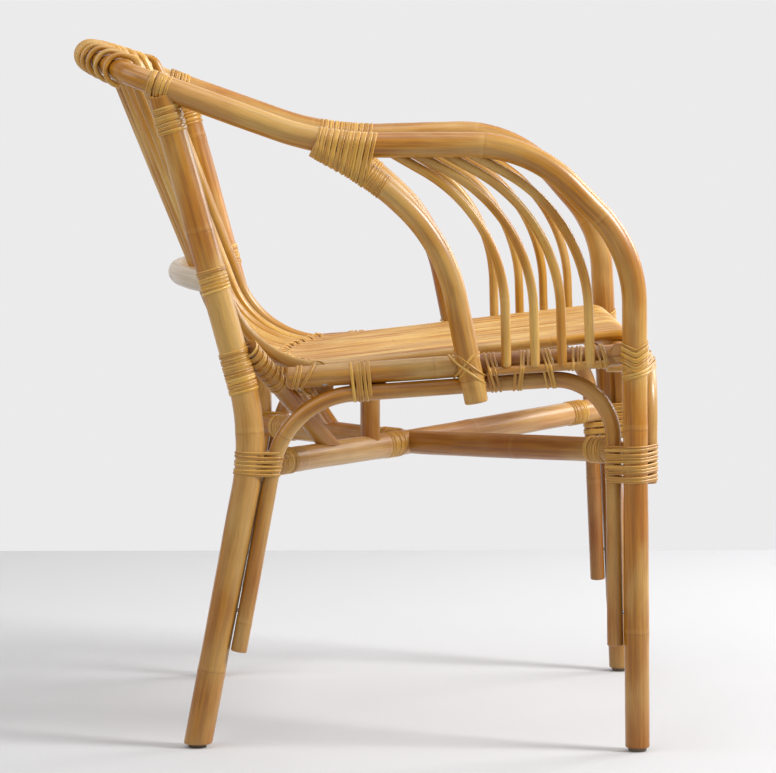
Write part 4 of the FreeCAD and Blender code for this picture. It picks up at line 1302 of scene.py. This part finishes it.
@dataclass
class CaneWork:
    """All bindings of split cane."""

    arms: dict[Side, ArmSide]
    back: BackFrame
    seat: SeatFrame
    under: UnderFrame
    slats: list[Rod]
    arm_support_x: tuple[float, float] = (18.0, -43.0)
    support_collar_z: tuple[float, float] = (620.0, 607.0)
    top_corner_x: tuple[float, float] = (-199.0, -221.0)
    leg_top_z: tuple[float, float] = (665.0, 693.0)
    mid_rail_z: tuple[float, float] = (494.0, 520.0)
    knee_z: tuple[float, float] = (386.0, 432.0)
    brace_z: tuple[float, float] = (390.0, 434.0)
    seat_corner_x: tuple[float, float] = (-67.0, -60.0)
    seat_tie_x: tuple[float, float] = (-54.0, -50.0)
    rail_arch_x: tuple[float, float] = (-7.0, 14.0)
    lashing_xs: tuple[float, ...] = (146.0, 177.0, 206.5, 235.5, 264.0)
    lashing_half: float = 6.0
    lashing_tilt: float = 0.18
    arch_lashed_to: float = 210.0
    crossing_x: float = 119.5
    crossing_y: float = 249.5
    front_seat_z: tuple[float, float] = (409.0, 434.0)
    front_arch_z: tuple[float, float] = (405.0, 420.0)
    front_leg_z: tuple[float, float] = (291.0, 332.0)
    rear_leg_z: tuple[float, float] = (295.0, 323.0)
    stretcher_xs: tuple[tuple[float, float], ...] = ((-92.0, -72.0), (255.0, 272.0))
    stretcher_crossing_x: tuple[float, float] = (33.0, 50.0)

    def dress(self, shop: Workshop) -> None:
        """Makes the bindings, the right and left ones of a joint in one piece.

        Args:
            shop: Makes the objects.
        """
        found: dict[str, list[Strip]] = {}
        for side in Side:
            for name, strips in self.one_side(side).items():
                found.setdefault(name, []).extend(strips)
        found["knee"] += self.slat_ties()
        for name, strips in found.items():
            surfaces = [strip.surface() for strip in strips]
            shop.piece(f"{name}_cane", surfaces, CANE_FINISH, f"{name}_bindings")

    def one_side(self, side: Side) -> dict[str, list[Strip]]:
        """The bindings of one side.

        Args:
            side: Which side.

        Returns:
            Binding's name to its strips.
        """
        arm, leg = self.arms[side], self.back.legs[side]
        rail, arch = self.seat.side_rails[side], self.seat.arches[side]
        brace, stretcher = self.under.braces[side], self.under.stretchers[side]
        seed = 200 if side is Side.RIGHT else 300
        rail_z = self.rail_height(self.crossing_x)
        joint = side.at((self.crossing_x, self.crossing_y, rail_z))
        rail_way = rail.path.tangent[0]
        rail_spot = side.at((self.crossing_x, self.seat.rail_rear[1] + 1.0, rail_z))
        support_way = arm.support.path.tangent[-2]
        support_spot = arm.support.path.spot(2, rail_z)
        joint_rods = [(rail_spot, rail_way, rail.diameter / 2),
                      (support_spot, support_way, arm.support_d / 2)]
        lashings = []
        for number, right_x in enumerate(self.lashing_xs):
            x = right_x + arm.spindles_ahead
            if x + self.lashing_half > arm.lath[1][0]:
                continue
            bound = [rail, arm.lath_rod] + ([arch] if right_x < self.arch_lashed_to else [])
            span = (x - self.lashing_half, x + self.lashing_half)
            tilt = self.lashing_tilt if number % 2 else -self.lashing_tilt
            lashings.append(wound(bound, 0, span, seed + 30 + number, 2.9, lean=(0.0, 0.0, tilt), turns=3))
        uprights = [arm.pole, arch, self.seat.front_arch]
        # The shade values of the bindings below are painted shade, for the bindings that sit low down or
        # under the seat.
        return {
            "arm_support": [
                wound([arm.pole, arm.support], 0, self.arm_support_x, seed, 3.3, lean=(0.0, 0.0, -0.13)),
                wound([arm.support], 2, self.support_collar_z, seed + 1, 3.2),
            ],
            "top_corner": [
                wound([self.top_joint(side)], 0, self.top_corner_x, seed + 2),
                wound([leg], 2, self.leg_top_z, seed + 3, 4.2),
            ],
            "mid_rail": [wound([leg], 2, self.mid_rail_z, seed + 4)],
            "knee": [wound([leg], 2, self.knee_z, seed + 5)],
            "brace": [wound([brace], 2, self.brace_z, seed + 6, turns=14, shade=0.2)],
            "seat_corner": [
                wound([rail], 0, self.seat_corner_x, seed + 7, 3.2, lean=(0.0, 0.0, 0.35), turns=2),
                wound([rail], 0, self.seat_tie_x, seed + 8, 3.2, lean=(0.0, 0.0, 0.75), turns=1, lift=0.8),
            ],
            "rail_arch": [wound([rail, arch], 0, self.rail_arch_x, seed + 9, 3.9, turns=5)],
            "spindle": lashings,
            "support_foot": crossed(joint, joint_rods, seed + 10, 2.8, turns=3),
            "front_seat": [
                wound([arm.pole, self.seat.front_arch], 2, self.front_arch_z, seed + 12, 3.4,
                      lean=(0.25, 0.0, 0.0)),
                wound([arm.pole], 2, self.front_seat_z, seed + 13, 3.2, vee=(0.55, 0.0, 0.0), lift=0.8),
            ],
            "front_leg": [wound(uprights, 2, self.front_leg_z, seed + 14, 3.4, turns=10, shade=0.5)],
            "rear_leg": [wound([leg, arch], 2, self.rear_leg_z, seed + 15, 3.4, turns=6, shade=0.7)],
            "stretcher_end": [wound([stretcher], 0, span, seed + 16, 3.4, shade=0.4)
                              for span in self.stretcher_xs],
            "crossing": [wound([stretcher], 0, self.stretcher_crossing_x, seed + 18, 5.0,
                               lean=(0.0, 0.0, 0.12), shade=0.4)],
        }

    def top_joint(self, side: Side) -> Rod:
        """Arm end and top rail end of one side as one rod, for the binding over their joint."""
        rail = self.back.top_rail.path.points
        rail = rail if side is Side.RIGHT else rail[::-1]
        line = np.concatenate([self.arms[side].pole.path.points[-16:], rail[1:12]])
        return Rod(Path(line, 2.0), self.arms[side].pole_d, Y_AXIS, 1)

    def rail_height(self, x: float) -> float:
        """Height of the side seat rail's axis at a place along it."""
        rear, front = self.seat.rail_rear, self.seat.rail_front
        return rear[2] + (x - rear[0]) / (front[0] - rear[0]) * (front[2] - rear[2])

    def slat_ties(self) -> list[Strip]:
        """A crossed tie of each slat to the rear seat rail."""
        ties = []
        for number, slat in enumerate(self.slats):
            y = slat.path.points[0, 1]
            rail_spot = self.seat.rear_point(np.array(y))
            slat_spot = slat.path.spot(0, float(rail_spot[0]), rail_spot, 40.0)
            after, before = (self.seat.rear_point(np.array(y + step)) for step in (5.0, -5.0))
            slat_way = unit(np.array([1.0, 0.0, self.seat.line_slope]))
            rods = [(slat_spot, slat_way, slat.diameter / 2),
                    (rail_spot, unit(after - before), self.seat.cross_d / 2)]
            ties += crossed((slat_spot + rail_spot) / 2, rods, 500 + 2 * number, 2.6, turns=1)
        return ties


@dataclass
class Hardware:
    """CAD pieces that stay as they are: foot glides, hidden screws and dowels."""

    finishes: dict[str, PlainFinish] = field(default_factory=lambda: {
        "foot_glides": GLIDE_FINISH, "frame_screws": SCREW_FINISH, "joint_dowels": DOWEL_FINISH})

    def dress(self) -> None:
        """Gives each CAD node its material."""
        for node, finish in self.finishes.items():
            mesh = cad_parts[node].data
            mesh.materials.clear()
            mesh.materials.append(finish.material())
            LOG.info("%s: %s", node, finish.name)


@dataclass
class Studio:
    """Floor, backdrop, lamps and the camera at the photograph's place."""

    wall_y: float = 1.4
    reach: float = 9.0
    floor_paint: Colour = linear(197, 197, 198)
    wall_paint: Colour = linear(222, 222, 223)
    seen_air: Colour = linear(236, 235, 236)
    air: float = 0.12
    camera_at: Place = (-0.0317, -4.264, 0.7414)
    camera_down: float = 4.956
    camera_turn: float = -0.795
    lens: float = 174.05
    sensor: float = 36.0

    def sheet(self, name: str, corners: Array, paint: Colour) -> bpy.types.Object:
        """A flat pale sheet, a grid between four corners.

        Args:
            name: Name of the sheet.
            corners: Its four corners in order.
            paint: Its colour.

        Returns:
            The object.
        """
        share = np.linspace(0.0, 1.0, 9)
        u, v = np.meshgrid(share, share, indexing="ij")
        weights = np.stack([(1 - u) * (1 - v), u * (1 - v), u * v, (1 - u) * v], -1)
        points = (weights @ corners).reshape(-1, 3)
        i, j = np.meshgrid(np.arange(8), np.arange(8), indexing="ij")
        first = i * 9 + j
        quads = np.stack([first, first + 9, first + 10, first + 1], -1).reshape(-1, 4)
        mesh = bpy.data.meshes.new(name)
        mesh.from_pydata(points.tolist(), [], quads.tolist())
        material = bpy.data.materials.new(name + "_paint")
        material.use_nodes = True
        shader = material.node_tree.nodes["Principled BSDF"]
        shader.inputs["Base Color"].default_value = paint
        shader.inputs["Roughness"].default_value = 0.9
        mesh.materials.append(material)
        made = bpy.data.objects.new(name, mesh)
        bpy.context.scene.collection.objects.link(made)
        return made

    def lamp(self, name: str, place: Place, target: Place, size: float, power: float) -> None:
        """A soft square lamp.

        Args:
            name: Name of the lamp.
            place: Where it hangs.
            target: What it looks at.
            size: Width in metres.
            power: Watts.
        """
        light = bpy.data.lights.new(name, "AREA")
        light.size = size
        light.energy = power
        made = bpy.data.objects.new(name, light)
        made.location = place
        way = Vector(target) - Vector(place)
        made.rotation_euler = way.to_track_quat("-Z", "Y").to_euler()
        bpy.context.scene.collection.objects.link(made)

    def world(self) -> bpy.types.World:
        """Faint even light from all round, which the camera and the lacquer see as a pale wall."""
        world = bpy.data.worlds.new("studio_air")
        world.use_nodes = True
        sheet = NodeSheet(world.node_tree)
        rays = sheet.add("ShaderNodeLightPath").outputs
        mirrored = sheet.math("MAXIMUM", rays["Is Glossy Ray"], rays["Is Transmission Ray"])
        seen = sheet.math("MAXIMUM", rays["Is Camera Ray"], mirrored)
        background = world.node_tree.nodes["Background"].inputs
        sheet.set(background["Color"], sheet.mix(seen, (1.0, 1.0, 1.0, 1.0), self.seen_air))
        sheet.set(background["Strength"], sheet.span(seen, 0.0, 1.0, self.air, 1.0))
        return world

    def build(self) -> None:
        """Sets up the whole studio."""
        r, w = self.reach, self.wall_y
        floor = np.array([[-r, -r, 0.0], [r, -r, 0.0], [r, w, 0.0], [-r, w, 0.0]])
        self.sheet("floor", floor, self.floor_paint)
        upright = np.array([[-r, w, 0.0], [r, w, 0.0], [r, w, r], [-r, w, r]])
        wall = self.sheet("backdrop", upright, self.wall_paint)
        wall.visible_camera = False
        self.lamp("key", (3.2, -1.1, 2.7), (0.0, 0.0, 0.5), 1.1, 158.0)
        self.lamp("rim", (1.9, 0.95, 1.5), (0.0, 0.0, 0.5), 1.0, 26.0)
        self.lamp("fill", (-1.7, -2.6, 2.9), (0.0, 0.0, 0.6), 2.0, 26.0)
        self.lamp("above", (-0.3, -0.3, 3.2), (0.0, 0.0, 0.4), 1.8, 25.0)
        self.lamp("bounce", (-2.5, -0.8, 1.9), (0.0, 0.0, 0.5), 1.6, 22.0)
        scene = bpy.context.scene
        scene.world = self.world()
        scene.view_settings.view_transform = "Standard"
        camera = bpy.data.cameras.new("camera")
        camera.sensor_fit = "HORIZONTAL"
        camera.sensor_width = self.sensor
        camera.lens = self.lens
        camera.clip_end = 100.0
        made = bpy.data.objects.new("camera", camera)
        made.location = self.camera_at
        made.rotation_euler = (math.radians(90.0 - self.camera_down), 0.0, math.radians(self.camera_turn))
        scene.collection.objects.link(made)
        scene.camera = made


def main() -> None:
    """Builds the chair's sub-assemblies in order and then the studio."""
    logging.basicConfig(level=logging.INFO, format="%(name)s: %(message)s")
    shop = Workshop()
    arms = {side: ArmSide(side) for side in Side}
    back = BackFrame()
    seat = SeatFrame(arms)
    under = UnderFrame(seat)
    bed = SlatBed(seat, back)
    for arm in arms.values():
        arm.dress(shop)
    back.dress(shop, back.lumbar(bed.lumbar_x(), bed.half))
    seat.dress(shop)
    under.dress(shop)
    slats = bed.dress(shop)
    CaneWork(arms, back, seat, under, slats).dress(shop)
    Hardware().dress()
    Studio().build()


if __name__ == "__main__":
    main()
